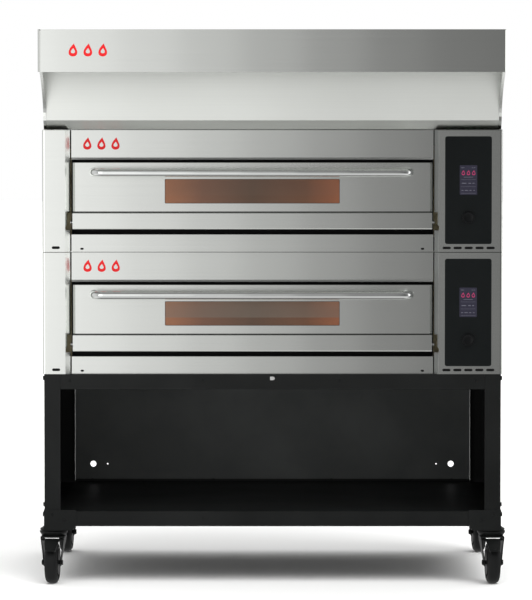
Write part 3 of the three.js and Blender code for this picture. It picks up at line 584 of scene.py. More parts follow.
def pan_head(shape, axis, centre, face, outward, radius=4.0, height=2.2):
    """A domed screw head on a face, with a round recess sunk in its crown."""
    steps = 5
    bends = [math.radians(90 * i / steps) for i in range(1, steps)]
    dome = [(radius * math.cos(bend), height * math.sin(bend)) for bend in bends]
    recess, floor_height = radius * 0.42, height * 0.4
    profile = [(0, 0), (radius, 0), *dome, (recess, height), (recess * 0.55, floor_height),
               (0, floor_height)]
    lathe(shape, raised(profile, face, outward), axis, centre, 20)


def hex_head(shape, axis, centre, face, outward, radius=6.5, height=4.0, washer=8.5):
    """A hexagon bolt head on its washer."""
    washer_height = 1.0
    lathe(shape, raised(disc(washer, 0, washer_height), face, outward), axis, centre, 28)
    span = sorted((face + outward * washer_height, face + outward * height))
    prism(shape, polygon(centre, radius, 6, 30), axis, span)


def coat(material, *names):
    for name in names:
        mesh = nodes[name].data
        mesh.materials.clear()
        mesh.materials.append(material)


def soften(name, width=0.5, segments=2):
    """Rounded folds and edges on a sheet metal node."""
    round_edges(nodes[name], width, segments, 24)


# ---- one deck
HANDLE_RADIUS, HANDLE_BEND, HINGE_RADIUS = 12, 30, 4
COVER_BACK = 927  # the casing cover's rear face; the gland reaches further


def flame(centre, height, stroke, steps=36):
    """A hollow teardrop that leans at its tip: its outer and inner outlines."""
    def drop(half_height, half_width, base):
        points = []
        for i in range(steps):
            t = math.tau * i / steps
            rise = math.cos(t)
            width = math.sin(t) * math.sin(t / 2) ** 1.3
            lean = 0.16 * half_height * max(rise, 0) ** 2
            points.append((centre[0] + half_width * width + lean, base + half_height * (1 + rise)))
        return points
    bottom = centre[1] - height / 2
    half_width = height * 0.46
    outer = drop(height / 2, half_width, bottom)
    inner = drop(height * 0.5 - stroke * 1.25, half_width - stroke, bottom + stroke)
    return outer, inner


def badge(name, place, face, left, middle_z, height, body="oven"):
    """A row of three flames in red enamel, standing a little proud of the steel."""
    shape = bmesh.new()
    pitch = height * 1.14
    for i in range(3):
        centre = (left + height * 0.42 + i * pitch, middle_z)
        outer, inner = flame(centre, height, height * 0.24)
        band(shape, outer, inner, "y", (face - 1.2, face - 0.1))
    piece(name, shape, place, red_enamel, body, bevel=0.3, sharp=50)


def handle(deck, place):
    """The bent tube and the weld fillets at its feet."""
    x_span, y_span, z_span = place.span(f"{deck}_handle")
    radius, bend = HANDLE_RADIUS, HANDLE_BEND
    left, right = x_span[0] + radius, x_span[1] - radius
    front, foot, z = y_span[0] + radius, y_span[1], middle(z_span)
    corners = ((left + bend, 180), (right - bend, 270))
    bent = [point for x, start in corners
            for point in arc((x, front + bend), bend, start, start + 90, 14)]
    path = [(x, y, z) for x, y in ((left, foot), *bent, (right, foot))]
    shape = bmesh.new()
    sweep(shape, path, radius, OUTWARD["z"], 40)
    piece(f"{deck}_handle_tube", shape, place, tube_steel, f"{deck}_door_leaf",
          (f"{deck}_handle",), sharp=60)
    shape = bmesh.new()
    weld = [(radius + wider, foot - out) for wider, out in
            ((-0.5, 0), (1.6, 0), (1.1, 0.9), (0.1, 1.7), (-0.5, 0))]
    for x in (left, right):
        lathe(shape, weld, "y", (x, z), 40)
    piece(f"{deck}_handle_welds", shape, place, tube_steel, f"{deck}_door_leaf")


def hinge(deck, place):
    """The rod, with chamfered ends and a retaining ring in a groove at each end."""
    (left, right), y_span, z_span = place.span(f"{deck}_hinge_rod")
    centre = (middle(y_span), middle(z_span))
    radius, neck = HINGE_RADIUS, HINGE_RADIUS - 0.7
    groove = (1.1, 2.0)  # from the rod's end
    tip = [(0, 0), (radius - 0.8, 0), (radius, 0.5), (radius, groove[0]), (neck, groove[0]),
           (neck, groove[1]), (radius, groove[1])]
    shape = bmesh.new()
    lathe(shape, raised(tip, left, 1) + raised(reversed(tip), right, -1), "x", centre, 32)
    piece(f"{deck}_hinge_pin", shape, place, tube_steel, f"{deck}_door_leaf",
          (f"{deck}_hinge_rod",), sharp=30)
    shape = bmesh.new()
    thick = 0.7
    for start in (left + groove[0] + 0.1, right - groove[0] - 0.1 - thick):
        outer = arc(centre, radius + 2.2, -140, 140, 28)
        inner = arc(centre, radius - 0.5, 140, -140, 28)
        prism(shape, [*outer, *inner], "x", (start, start + thick))
    piece(f"{deck}_hinge_clips", shape, place, plated, f"{deck}_door_leaf", bevel=0.12)


def door_details(deck, place):
    """Window seal, rope seal, glazing bead with its screws, and the end caps of the bar."""
    body = f"{deck}_door_leaf"
    door_x, (front, back), door_z = place.span(f"{deck}_door")
    pane_x, pane_y, pane_z = place.span(f"{deck}_door_glass")
    pane_lap = 4
    light_x, light_z = grown(pane_x, -pane_lap), grown(pane_z, -pane_lap)

    def round_the_light(by, radius):
        return rounded(grown(light_x, by), grown(light_z, by), radius)

    shape = bmesh.new()
    band(shape, round_the_light(-0.05, 4), round_the_light(-0.9, 4), "y", (front + 0.5, pane_y[0] - 0.1))
    piece(f"{deck}_window_seal", shape, place, seal_rubber, body, bevel=0.25)

    # the rope runs round the leaf's back, above the hinge channel
    channel_top = door_z[1] - 142.6
    rope_radius, corner = 1.75, 14
    line = rounded(grown(door_x, -5.5), (channel_top, door_z[1] - 5), corner)
    path = [(x, back + rope_radius + 0.1, z) for x, z in line]
    shape = bmesh.new()
    sweep(shape, path, rope_radius, OUTWARD["y"], 14, loop=True)
    piece(f"{deck}_door_seal", shape, place, rope, body, sharp=80)

    bead_face, screw_inset, screw_gaps = back + 1.3, 7, 4
    shape = bmesh.new()
    band(shape, round_the_light(13, 6), round_the_light(1, 3), "y", (back + 0.1, bead_face))
    piece(f"{deck}_window_bead", shape, place, steel, body, bevel=0.3)
    shape = bmesh.new()
    for i in range(screw_gaps + 1):
        x = light_x[0] + (light_x[1] - light_x[0]) * i / screw_gaps
        for z in grown(light_z, screw_inset):
            pan_head(shape, "y", (x, z), bead_face, 1, 2.8, 1.4)
    piece(f"{deck}_window_bead_screws", shape, place, plated, body)

    bar_x, bar_y, bar_z = place.span(f"{deck}_door_bar")
    cap = rounded((bar_y[0] + 17.5, bar_y[1] - 1), grown(bar_z, -1), 2)
    shape = bmesh.new()
    for face, outward in zip(bar_x, (-1, 1)):
        prism(shape, cap, "x", sorted((face, face + outward * 0.9)))
    piece(f"{deck}_bar_end_caps", shape, place, plastic, body, bevel=0.25)


def knob(deck, place):
    """Fluted cap with its pointer, on a shaft."""
    body = f"{deck}_knob"
    x_span, (front, shaft_end), z_span = place.span(f"{deck}_control_knob")
    centre = (middle(x_span), middle(z_span))
    radius = (x_span[1] - x_span[0]) / 2
    back = place.span(f"{deck}_control_glass")[1][0] - 0.3
    skirt = [(0, back), (radius, back), (radius, back - 2.0), (radius - 1.2, back - 2.8)]
    crown = [(radius - 1.5, front + 2.6), (radius - 2.2, front + 0.9), (radius - 3.6, front),
             (radius - 5.2, front + 0.2), (radius - 6.2, front + 1.3), (5, front + 1.7), (0, front + 1.7)]
    flutes, flute_depth = 36, 0.35
    shape = bmesh.new()
    lathe(shape, skirt + crown, "y", centre, 4 * flutes)
    for vert in shape.verts:
        off = Vector((vert.co.x - centre[0], 0, vert.co.z - centre[1]))
        if radius - 2.6 < off.length < radius - 0.6 and vert.co.y < back - 2.5:
            turn = math.atan2(off.z, off.x)
            vert.co += off.normalized() * flute_depth * math.cos(flutes * turn)
    piece(f"{deck}_knob_cap", shape, place, plastic, body, (f"{deck}_control_knob",),
          sharp=50)
    shape = bmesh.new()
    pointer = rounded((centre[0] - 0.7, centre[0] + 0.7), (centre[1] + 7.5, centre[1] + 12.4), 0.6, 3)
    prism(shape, pointer, "y", (front + 1.0, front + 1.75))
    piece(f"{deck}_knob_pointer", shape, place, plastic, body)
    shape = bmesh.new()
    lathe(shape, [(0, shaft_end), (3.2, shaft_end), (4, shaft_end - 0.8), (4, back + 0.5), (0, back + 0.5)],
          "y", centre, 24)
    piece(f"{deck}_knob_shaft", shape, place, plated, body)


def display(deck, place):
    """The screen above the knob, with three flames and rows of bars that spell nothing."""
    middle_x = middle(place.span(f"{deck}_control_knob")[0])
    _, (face, _), (glass_foot, _) = place.span(f"{deck}_control_glass")
    screen_x = (middle_x - 26, middle_x + 26)
    screen_z = (glass_foot + 147, glass_foot + 235)
    printed = (face - 0.3, face - 0.1)
    shape = bmesh.new()
    prism(shape, rounded(screen_x, screen_z, 1.5), "y", (face - 0.16, face + 0.4))
    piece(f"{deck}_screen", shape, place, screen, "oven", bevel=0.05, levels=1)
    shape = bmesh.new()
    for step in (-1, 0, 1):
        outer, inner = flame((middle_x + step * 15.5, screen_z[1] - 22), 15, 2.6, 24)
        band(shape, outer, inner, "y", printed)
    piece(f"{deck}_screen_heat_marks", shape, place, screen_red, "oven")
    # each row: its rise above the screen's foot, a gap and a width for each bar, and its height
    rows = ((4, ((0, 44),), 0.8), (12, ((1, 6), (4, 10), (4, 6), (6, 4)), 2.2), (24, ((0, 44),), 0.6),
            (33, ((2, 14), (6, 8), (4, 6)), 2.6), (45, ((0, 44),), 0.6), (52, ((8, 28),), 1.4),
            (80, ((0, 10), (22, 4), (2, 4)), 1.6))
    shape = bmesh.new()
    for rise, bars, height in rows:
        x, z = screen_x[0] + 4, screen_z[0] + rise
        for gap, width in bars:
            x += gap
            prism(shape, rounded((x, x + width), (z, z + height), height * 0.3, 2), "y", printed)
            x += width
    piece(f"{deck}_screen_grey_marks", shape, place, screen_grey, "oven")


def elements(deck, place):
    """Sheathed elements bent to and fro under the roof and under the hearth."""
    legs, pitch, corner = 8, 84, 14
    for level in ("top", "bottom"):
        x_span, y_span, z_span = place.span(f"{deck}_{level}_heater")
        size = z_span[1] - z_span[0]
        radius = size / 2
        left, right = x_span[0] + pitch / 2 - radius, 425
        terminal, return_x = x_span[1], 452 - radius
        y = y_span[1] - radius
        path = [(terminal, y)]
        for i in range(legs - 1):
            end, turn = (left, 180) if i % 2 == 0 else (right - pitch / 2, -180)
            path += arc((end, y - pitch / 2), pitch / 2, 90, 90 + turn, 12)
            y -= pitch
        inner_y = y_span[1] - 2.5 * size - radius - size
        path += arc((return_x - corner, y + corner), corner, -90, 0, 6)
        path += arc((return_x + corner, inner_y - corner), corner, 180, 90, 6)
        path.append((terminal, inner_y))
        shape = bmesh.new()
        sweep(shape, [(u, v, middle(z_span)) for u, v in path], radius * 0.86, OUTWARD["z"], 16)
        piece(f"{deck}_{level}_element", shape, place, sheath, "oven",
              (f"{deck}_{level}_heater",), sharp=60)


def louvre(shape, u_span, v_span, face, axis):
    """A pressed hood over a slot, open along its rear long side."""
    depth, sheet, steps = 4.5, 0.8, 6
    (u0, u1), (v0, v1) = u_span, v_span
    rows = []
    for i in range(steps + 1):
        angle = math.radians(90 * i / steps)
        inset = 6 * math.sin(angle) - 0.5
        rows.append((u0 - 3 + (u1 - u0 + 3) * math.sin(angle),
                     face + 0.1 + depth * (1 - math.cos(angle)), v0 + inset, v1 - inset))
    inner, outer = ([[shape.verts.new(AXES[axis](u, v, out + rise)) for v in ends]
                     for u, out, *ends in rows] for rise in (0, sheet))
    for i in range(steps):
        shape.faces.new((outer[i][0], outer[i][1], outer[i + 1][1], outer[i + 1][0]))
        shape.faces.new((inner[i][0], inner[i + 1][0], inner[i + 1][1], inner[i][1]))
        for end in (0, 1):
            shape.faces.new((outer[i][end], outer[i + 1][end], inner[i + 1][end], inner[i][end]))
    for i in (0, steps):
        shape.faces.new((outer[i][0], outer[i][1], inner[i][1], inner[i][0]))


def casing_details(deck, place):
    """Seam screws, and the louvre hoods at the right and at the rear."""
    x_span, _, (_, top) = place.span(f"{deck}_casing")
    seams = (18, top - 18)
    shape = bmesh.new()
    for face, side in zip(x_span, (-1, 1)):
        for y in (60, 350, 640, 905):
            for z in seams:
                pan_head(shape, "x", (y, z), face, side)
    for x in (-650, -325, 0, 325, 650):
        for z in seams:
            pan_head(shape, "y", (x, z), COVER_BACK, 1)
    piece(f"{deck}_casing_screws", shape, place, plated, "oven")

    slot_width, slot_pitch = 7, 22
    shape = bmesh.new()
    for foot in (100, 200):
        for y in range(130, 130 + 7 * slot_pitch, slot_pitch):
            louvre(shape, (y, y + slot_width), (foot, foot + 70), x_span[1], "x")
    for x in range(440, 440 + 6 * slot_pitch, slot_pitch):
        louvre(shape, (x, x + slot_width), (200, 290), COVER_BACK, "y")
    piece(f"{deck}_louvres", shape, place, steel, "oven", sharp=40)


def gland(deck, place):
    """The cable gland's nut, six-sided outside and round inside, and its rubber grommet."""
    centre, sides = (600, 60), 48
    corners = polygon(centre, 19, 6, 30)
    hexagon = []
    for i in range(sides):
        corner, part = divmod(6 * i / sides, 1)
        first, second = corners[int(corner)], corners[(int(corner) + 1) % 6]
        hexagon.append(tuple(a + (b - a) * part for a, b in zip(first, second)))
    nut = [(9.2, 8), (9.2, 12.9), (13.6, 12.9), (14.6, 11.5), (14.6, 8), (9.2, 8)]
    grommet = [(6.2, 4), (6.2, 12.2), (7.2, 12.9), (8.8, 12.9), (8.8, 4), (6.2, 4)]
    shape = bmesh.new()
    band(shape, hexagon, polygon(centre, 14.3, sides, 30), "y", (COVER_BACK + 0.2, COVER_BACK + 7))
    lathe(shape, raised(nut, COVER_BACK, 1), "y", centre, 48)
    piece(f"{deck}_gland_nut", shape, place, plastic, "oven", bevel=0.3)
    shape = bmesh.new()
    lathe(shape, raised(grommet, COVER_BACK, 1), "y", centre, 40)
    piece(f"{deck}_gland_grommet", shape, place, seal_rubber, "oven", sharp=50)


def rating_plate(deck, place):
    """A blank plate on the cover's rear face, with a rivet in each corner."""
    plate_x, plate_z, plate_face = (430, 550), (40, 110), COVER_BACK + 0.9
    shape = bmesh.new()
    prism(shape, rounded(plate_x, plate_z, 3), "y", (COVER_BACK + 0.1, plate_face))
    piece(f"{deck}_rating_plate", shape, place, plated, "oven", bevel=0.2)
    shape = bmesh.new()
    for x in grown(plate_x, -6):
        for z in grown(plate_z, -6):
            pan_head(shape, "y", (x, z), plate_face, 1, 2.2, 1.2)
    piece(f"{deck}_rating_plate_rivets", shape, place, plated, "oven")


def vent_shade_sheets(deck, place):
    """Black felt-textured sheets glued to the sheets' backs behind the column slots and the drains: painted
    shade for the dark seen through them.
    """
    (_, column_right), (column_face, _), _ = place.span(f"{deck}_control_column")
    cover_left = place.span(f"{deck}_left_column")[0][0]
    sheet, thick = 1.5, 1.4
    slots = [(column_face, (column_right - 177, column_right - 12), (5, 20)),
             (column_face, (cover_left + 18, cover_left + 52), (6, 21)),
             *((frame_y, (x - 9, x + 9), (3.5, 14.5)) for x in (-570, 449))]
    shape = bmesh.new()
    for face, x_span, z_span in slots:
        behind_sheet = face + sheet + 0.1
        prism(shape, rounded(x_span, z_span, 2, 3), "y", (behind_sheet, behind_sheet + thick))
    piece(f"{deck}_vent_shade_backings", shape, place, vent_shade_black, "oven", bevel=0.2)


for deck in DECKS:
    place = deck_places[deck]
    for material, *sheets in (
            (steel, "casing", "left_column"), (column_steel, "control_column"), (frame_steel, "front_frame"),
            (door_steel, "door"), (rail_steel, "door_bar"), (glass, "control_glass"),
            (windows[deck], "door_glass"), (board, "control_board"), (liner, "chamber"),
            (wool, "insulation"), (brick, "stone")):
        coat(material, *(f"{deck}_{sheet}" for sheet in sheets))
    for width, *sheets in ((0.35, "left_column", "control_column", "front_frame", "door"), (1.2, "stone"),
                           (0.4, "casing", "chamber"), (0.3, "control_glass", "control_board")):
        for sheet in sheets:
            soften(f"{deck}_{sheet}", width)
    soften(f"{deck}_door_bar", 0.4, 3)
    handle(deck, place)
    hinge(deck, place)
    door_details(deck, place)
    knob(deck, place)
    display(deck, place)
    elements(deck, place)
    casing_details(deck, place)
    gland(deck, place)
    rating_plate(deck, place)
    badge(f"{deck}_badge", place, frame_y, left=-569, middle_z=324, height=37)
    vent_shade_sheets(deck, place)


# ---- hood
def hood():
    """Coats, the flame badge, the flange and rim of the flue, and the screws."""
    plain = ("hood_fascia", "hood_left_cheek", "hood_right_cheek", "hood_canopy")
    coat(steel, *plain)
    coat(satin_steel, "hood_front_panel")
    for name in (*plain, "hood_front_panel"):
        soften(name)
    badge("hood_badge", WHOLE, WHOLE.span("hood_fascia")[1][0], left=-596, middle_z=1595, height=38)

    _, (_, back), (_, top) = WHOLE.span("hood_canopy")
    (_, half), _, (_, roof) = WHOLE.span("hood_right_cheek")
    radius, centre, flange_top = 75, (0, 700), roof + 1.2
    rim = [(radius + 0.2, flange_top), (radius + 0.2, top), (radius + 1.6, top), (radius + 2.6, top - 1.0),
           (radius + 1.6, top - 2.2), (radius + 1.4, flange_top), (radius + 0.2, flange_top)]
    shape = bmesh.new()
    lathe(shape, ring(radius + 0.1, radius + 20, roof + 0.1, flange_top), "z", centre, 96)
    lathe(shape, rim, "z", centre, 96)
    piece("hood_flue_flange", shape, WHOLE, steel, "oven")

    upper_seam, lower_seam = roof - 14, roof - 276
    shape = bmesh.new()
    for place_xy in polygon(centre, radius + 12, 8, 22.5):
        pan_head(shape, "z", place_xy, flange_top, 1, 3.2, 1.6)
    for side in (-1, 1):
        for z, depths in ((upper_seam, (-200, 80, 360, 640, 900)), (lower_seam, (40, 330, 620, 900))):
            for y in depths:
                pan_head(shape, "x", (y, z), side * half, side, 3.6, 2.0)
    for x in (-640, -320, 0, 320, 640):
        for z in (upper_seam, lower_seam):
            pan_head(shape, "y", (x, z), back, 1, 3.2, 1.2)
    piece("hood_screws", shape, WHOLE, plated, "oven")


# ---- stand
def stand():
    """Coats, screws, side bolts, the plug in the top rail and the angle behind the shelf."""
    half = WHOLE.span("stand_front_right_leg")[0][1]
    face = WHOLE.span("stand_front_left_leg")[1][0]
    back = WHOLE.span("stand_right_panel")[1][1]
    panel_x, (panel_face, _), _ = WHOLE.span("stand_back_panel")
    names = [name for name in nodes if name.startswith("stand_")]
    coat(paint, *names)
    # the back panel takes the paler paint, painted light
    coat(lit_panel_paint, "stand_back_panel")
    for name in names:
        soften(name, 0.6)
    shape = bmesh.new()
    for z in (609, 197):
        for x in (-608, -210, 199, 608):
            pan_head(shape, "y", (x, z), face, -1, 4.6, 1.6)
        for x in (-608, 608):
            pan_head(shape, "y", (x, z), back, 1, 4.6, 1.6)
    for x in (-579, -190, 190, 577):
        for z in (224, 600):
            pan_head(shape, "y", (x, z), panel_face, -1, 3.6, 1.8)
    piece("stand_screws", shape, WHOLE, paint, "oven")
    shape = bmesh.new()
    for side in (-1, 1):
        for y in (22, back - 22):
            for z in (616, 236):
                hex_head(shape, "x", (y, z), side * half, side, 6.5, 4.6)
    piece("stand_side_bolts", shape, WHOLE, paint, "oven", bevel=0.4)

    plug_z, plug_radius, plug_end = 616, 5.6, -7.2
    plug = [*arc((1.4, plug_z), plug_radius, -90, 90, 12),
            (plug_end, plug_z + plug_radius), (plug_end, plug_z - plug_radius)]
    shape = bmesh.new()
    prism(shape, plug, "y", (face - 1.2, face + 6))
    piece("stand_rail_plug", shape, WHOLE, bright_plug, "oven", bevel=1.0, levels=4)

    shelf_top = WHOLE.span("stand_shelf")[2][1]
    angle = [(-16, 0.1), (-0.1, 0.1), (-0.1, 9), (-1.1, 9), (-1.1, 1.1), (-16, 1.1)]
    shape = bmesh.new()
    prism(shape, [(panel_face + y, shelf_top + z) for y, z in angle], "x", grown(panel_x, -1))
    piece("stand_rear_angle", shape, WHOLE, paint, "oven", bevel=0.3)


# ---- castors
AXLE = (-38, 62.5)  # of the wheel, ahead of the swivel axis and above the floor
LEG_INNER = 23.5


def wheel(name, place):
    """Tyre with round shoulders, spoked hub with its boss, and a thread guard on each side."""
    body = f"{name}_wheel"
    tyre_radius = AXLE[1]
    shoulder = [(46.5, -17.6), (47, -18.6), (49, -19), (52, -18.8), (54, -18.2), (57, -16.6), (60, -13.4),
                (61.8, -9), (tyre_radius, -4.5)]
    shape = bmesh.new()
    lathe(shape, mirrored(shoulder, (tyre_radius, 0)), "x", AXLE, 96)
    piece(f"{name}_tyre", shape, place, tyre_rubber, body, (f"{name}_wheel",), sharp=50)
    rim = [(46.4, -17), (44, -17.4), (42.5, -15.5), (41.5, -5)]
    boss = [(5.2, -17), (13, -17), (16, -15.5), (17.5, -6)]
    shape = bmesh.new()
    lathe(shape, mirrored(rim), "x", AXLE, 72)
    lathe(shape, mirrored(boss), "x", AXLE, 48)
    lathe(shape, ring(17, 42, -3, 3), "x", AXLE, 48)
    for turn in range(0, 360, 60):
        angle = math.radians(turn)
        spoke = []
        for reach, width in ((16, 2.2), (16, -2.2), (42.2, -1.6), (42.2, 1.6)):
            spoke.append((AXLE[0] + reach * math.cos(angle) + width * math.sin(angle),
                          AXLE[1] + reach * math.sin(angle) - width * math.cos(angle)))
        for side in (-1, 1):
            prism(shape, spoke, "x", sorted((side * 2.5, side * 13)))
    piece(f"{name}_hub", shape, place, hub_plastic, body, sharp=40)
    guard = [(6.5, 17.2), (14, 17.2), (30, 18.6), (36, 18.9), (37, 19.6), (33, 19.7), (14, 18.6), (6.5, 18.2),
             (6.5, 17.2)]
    shape = bmesh.new()
    for side in (-1, 1):
        lathe(shape, raised(guard, 0, side), "x", AXLE, 64)
    piece(f"{name}_thread_guards", shape, place, hub_plastic, body, sharp=50)


def fork(name, place):
    """Swivel head with the rims of its ball races, a crown with two splayed legs, and the axle bolt."""
    body = f"{name}_swivel"
    head_foot, head_top, bore = 139, 168.2, 6.6
    head = [(bore, head_foot), (30, head_foot), (36, head_foot + 2), (39.5, 147), (41.6, 149.5), (42, 151),
            (42, 154.5), (41, 155.4), (37.5, 155.6), (37, 157), (40, 158), (40.6, 160), (39.5, 162.5),
            (35, 164.5), (32, 167.2), (28, head_top), (bore, head_top), (bore, head_foot)]
    shape = bmesh.new()
    lathe(shape, head, "z", (0, 0), 72)
    piece(f"{name}_swivel_head", shape, place, paint, body, (f"{name}_fork",), sharp=40)

    leg_thick, leg_top, splay = 3, 137, 9.5 / (140 - AXLE[1])
    leg = [(-42, leg_top), (-43.5, 110), *arc(AXLE, 13, 170, 350, 16), (6, 96), (30, 124), (30, leg_top)]
    shape = bmesh.new()
    prism(shape, rounded((-36, 36), (-42, 30), 6, 5), "z", (136.2, 140))
    for side in (-1, 1):
        start = len(shape.verts)
        prism(shape, leg, "x", (0, leg_thick))
        shape.verts.ensure_lookup_table()
        for vert in shape.verts[start:]:
            vert.co.x = side * (LEG_INNER + vert.co.x + splay * (vert.co.z - AXLE[1]))
    piece(f"{name}_legs", shape, place, paint, body, bevel=0.9, levels=3)

    leg_face = LEG_INNER + leg_thick + 0.1
    bolt_tip = [(0, 4.8), (4.6, 4.8), (4.2, 5.6), (0, 5.6)]
    shape = bmesh.new()
    lathe(shape, raised(bolt_tip, -leg_face, -1), "x", AXLE, 24)
    lathe(shape, disc(4.6, -LEG_INNER, LEG_INNER), "x", AXLE, 24)
    for side in (-1, 1):
        hex_head(shape, "x", AXLE, side * leg_face, side, 8.0, 5.0, 10)
        lathe(shape, raised(ring(4.8, 6.3, 17.4, 23.2), 0, side), "x", AXLE, 28)
    piece(f"{name}_axle_bolt", shape, place, paint, body, bevel=0.35)


def bracket(name, place, side, front):
    """The coat of the CAD bracket, and its screws and side bolts."""
    coat(paint, f"{name}_bracket")
    soften(f"{name}_bracket")
    x_span, y_span, _ = place.span(f"{name}_bracket")
    outer = x_span[1] if side > 0 else x_span[0]
    face = y_span[0] if front < 0 else y_span[1]
    shape = bmesh.new()
    for inward, z in ((60, 190), (24, 207)):
        pan_head(shape, "y", (outer - side * inward, z), face, front, 5, 2.4)
    for inward in (22, 70):
        hex_head(shape, "x", (face - front * inward, 206), outer, side, 6.5, 4.4)
    piece(f"{name}_bracket_bolts", shape, place, paint, "oven", bevel=0.35)


def brake(name, place):
    """Pressed pedal with turned-down sides and grip ribs, on its cross pin."""
    body = f"{name}_brake"
    pivot = (-34, 131)
    # stations along the pedal: depth, height and half of its width
    stations = ((pivot[0], 132, 22), (-50, 131.4, 21.5), (-62, 128.8, 20.5), (-76, 122.5, 19),
                (-92, 110.5, 16), (-101, 104, 14.5), (-110, 103, 13))
    # across the pedal: a part of the half width, and the drop there
    section = ((-1, 3.5), (-1, 0), (-0.5, -0.4), (0, -0.6), (0.5, -0.4), (1, 0), (1, 3.5))
    shape = bmesh.new()
    rows = [[shape.verts.new((half * across, y, z - drop)) for across, drop in section]
            for y, z, half in stations]
    for first, second in zip(rows, rows[1:]):
        for i in range(len(section) - 1):
            shape.faces.new((first[i], first[i + 1], second[i + 1], second[i]))
    pedal = piece(f"{name}_pedal", shape, place, paint, body, (f"{name}_brake",), sharp=40)
    shell = pedal.modifiers.new("sheet", "SOLIDIFY")
    shell.thickness = 2.6 * MM
    shell.offset = 0
    round_edges(pedal, 0.5, 2, 30)

    pin_radius, pin_half = 2.5, 35
    tip = (pin_radius - 0.4, pin_half + 0.4)
    pin = [(0, -tip[1]), (tip[0], -tip[1]), (pin_radius, -pin_half), (pin_radius, pin_half), tip, (0, tip[1])]
    shape = bmesh.new()
    lathe(shape, pin, "x", pivot, 24)
    for side in (-1, 1):
        lathe(shape, raised(ring(pin_radius + 0.1, 4, 22.5, 30), 0, side), "x", pivot, 24)
    piece(f"{name}_pedal_pin", shape, place, paint, body, bevel=0.2)
    shape = bmesh.new()
    for i in range(4):
        y = -96 - i * 3.4
        prism(shape, rounded((y - 0.8, y + 0.8), (104.2, 106.2), 0.7, 3), "x", (-10, 10))
    piece(f"{name}_pedal_grip", shape, place, tyre_rubber, body, bevel=0.3)


def castors():
    for end, front in (("front", -1), ("rear", 1)):
        for side_name, side in (("left", -1), ("right", 1)):
            name = f"castor_{end}_{side_name}"
            centre = Vector(joints[f"{name}_swivel_turn"]["pos_m"])
            axle = Vector(joints[f"{name}_wheel_roll"]["axis"])
            square = Place((centre.x, centre.y, 0))
            turned = Place((centre.x, centre.y, 0), math.atan2(axle.y, axle.x))
            bracket(name, square, side, front)
            fork(name, turned)
            wheel(name, turned)
            if front < 0:
                brake(name, turned)


hood()
stand()
castors()


# ---- camera, light and floor
def camera():
    """A long lens, 1.5 m above the floor and 12.4 m in front of the columns."""
    distance, height = 12.4, 1.499  # metres
    downward, leftward = 2.99106, 0.0896756  # degrees
    data = bpy.data.cameras.new("camera")
    data.sensor_width, data.lens = 36.0, 249.18  # millimetres
    data.clip_end = 200.0
    made = add_object("camera", data)
    made.location = (0, FRONT - distance, height)
    made.rotation_euler = (math.radians(90 - downward), 0, math.radians(leftward))
    bpy.context.scene.camera = made


def surroundings():
    """The studio. Reflections see light that depends on direction, dull straight ahead of the
    oven and brighter round its sides; diffuse rays see an even fill; the backdrop is white."""
    world = bpy.data.worlds.new("studio")
    world.use_nodes = True
    bpy.context.scene.world = world
    tree = world.node_tree
    tree.nodes.clear()
    x, y, z = split(tree, new_node(tree, "ShaderNodeTexCoord").outputs["Generated"])
    azimuth = maths(tree, "ARCTAN2", x, maths(tree, "MULTIPLY", y, -1.0))
    turn = maths(tree, "ADD", maths(tree, "DIVIDE", azimuth, math.tau), 0.5)
    around = ramp(tree, turn, [(0.5 + degrees / 360, value) for degrees, value in (
        (-179, 0.6), (-125, 0.6), (-104, 0.7), (-72, 0.7), (-50, 0.5), (-20, 0.45),
        (0, 0.11), (30, 0.11), (60, 0.2), (78, 0.38), (90, 0.45), (112, 0.5), (135, 0.5), (179, 0.6))])
    elevation = maths(tree, "ADD", maths(tree, "DIVIDE", maths(tree, "ARCSINE", z), math.pi), 0.5)
    level = ramp(tree, elevation, [(0.5 + degrees / 180, value) for degrees, value in (
        (-90, 1.0), (-40, 1.0), (-18, 0.0), (26, 0.0), (50, 1.0), (90, 1.0))], "EASE")
    above = ramp(tree, elevation, [(0.5 + degrees / 180, value) for degrees, value in (
        (-90, 0.3), (-65, 0.45), (-40, 0.95), (-24, 0.5), (26, 0.25), (50, 0.22), (90, 0.45))])

    def background(colour):
        made = new_node(tree, "ShaderNodeBackground")
        feed(tree, made.inputs["Color"], colour)
        return made.outputs[0]

    path = new_node(tree, "ShaderNodeLightPath")
    light = background(mix(tree, level, around, above))
    for ray, colour in (("Is Diffuse Ray", (0.72, 0.72, 0.715)), ("Is Camera Ray", (1, 1, 1))):
        either = new_node(tree, "ShaderNodeMixShader")
        for socket, value in zip(either.inputs, (path.outputs[ray], light, background(colour))):
            tree.links.new(value, socket)
        light = either.outputs[0]
    tree.links.new(light, new_node(tree, "ShaderNodeOutputWorld").inputs[0])


def area_lamp(name, centre, size, brightness, turn=0, receivers=None):
    """An upright lamp that shines towards the oven's back when unturned, unseen by the camera."""
    data = bpy.data.lights.new(name, "AREA")
    data.shape = "RECTANGLE"
    data.size, data.size_y = size
    data.energy = brightness * math.pi * size[0] * size[1]
    made = add_object(name, data)
    made.location = centre
    made.rotation_euler = (math.radians(90), 0, math.radians(turn))
    made.visible_camera = False
    made.light_linking.receiver_collection = receivers
    return made


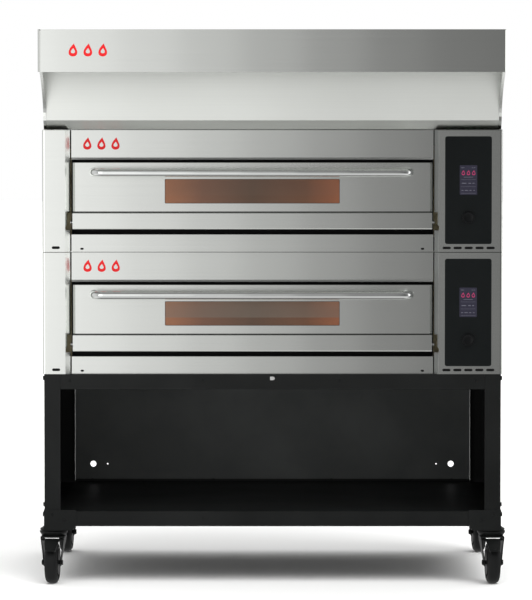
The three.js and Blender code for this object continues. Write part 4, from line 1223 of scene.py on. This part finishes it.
def sun_lamp(name, tilt, lean, energy, spread, receivers=None):
    data = bpy.data.lights.new(name, "SUN")
    data.energy = energy
    data.angle = math.radians(spread)
    made = add_object(name, data)
    made.rotation_euler = (math.radians(tilt), math.radians(lean), 0)
    made.light_linking.receiver_collection = receivers
    return made


def receiving(name, lit):
    """A collection for lamps that light one object only."""
    made = bpy.data.collections.new(name)
    made.objects.link(lit)
    return made


def lamps():
    """A screen of upright strips in front of the oven, brightest at the left, a reflector at the
    right, a soft light overhead, and lamps that light only the floor or only the hood's panel."""
    ahead, height, level, width = 1.5, 1.75, 1.1, 0.2
    strips = [(-1.9, -1.1, 1.08)]
    for brightness in (1.0, 0.9, 0.78, 0.64, 0.5, 0.37, 0.25, 0.15, 0.09, 0.07, 0.08, 0.09):
        start = strips[-1][1]
        strips.append((start, start + width, brightness))
    for i, (left, right, brightness) in enumerate(strips):
        centre = ((left + right) / 2, FRONT - ahead, level)
        area_lamp(f"strip_{i}", centre, (right - left, height), brightness)
    reflector = area_lamp("reflector", (2.2, -0.52, 1.15), (0.6, 1.5), 0.95, 90)
    reflector.visible_diffuse = False
    overhead = sun_lamp("overhead", 30, 28, 1.5, 45)
    overhead.visible_glossy = False
    ground = receiving("floor_receivers", bpy.data.objects["floor"])
    sun_lamp("floor_front", 38, 0, 0.9, 50, ground)
    sun_lamp("floor_behind", -38, 0, 1.25, 50, ground)
    panel = receiving("hood_fill_receivers", nodes["hood_front_panel"])
    for i, (left, right, brightness) in enumerate(((-1.4, -0.3, 0.12), (-0.3, 0.4, 0.46), (0.4, 1.6, 0.74))):
        centre = ((left + right) / 2, FRONT - ahead + 0.05, 1.25)
        area_lamp(f"hood_fill_{i}", centre, (right - left, 0.9), brightness, receivers=panel)


def floor():
    """A round pale floor, just under the tyres."""
    mesh = bpy.data.meshes.new("floor")
    made = add_object("floor", mesh)
    shape = bmesh.new()
    bmesh.ops.create_circle(shape, cap_ends=True, segments=96, radius=40)
    shape.to_mesh(mesh)
    shape.free()
    made.location.z = -0.0005
    made.visible_glossy = False
    mesh.materials.append(principled("floor", (0.93, 0.93, 0.925), 0.9)[0])


camera()
surroundings()
floor()
lamps()
bpy.context.scene.view_settings.view_transform = "Standard"
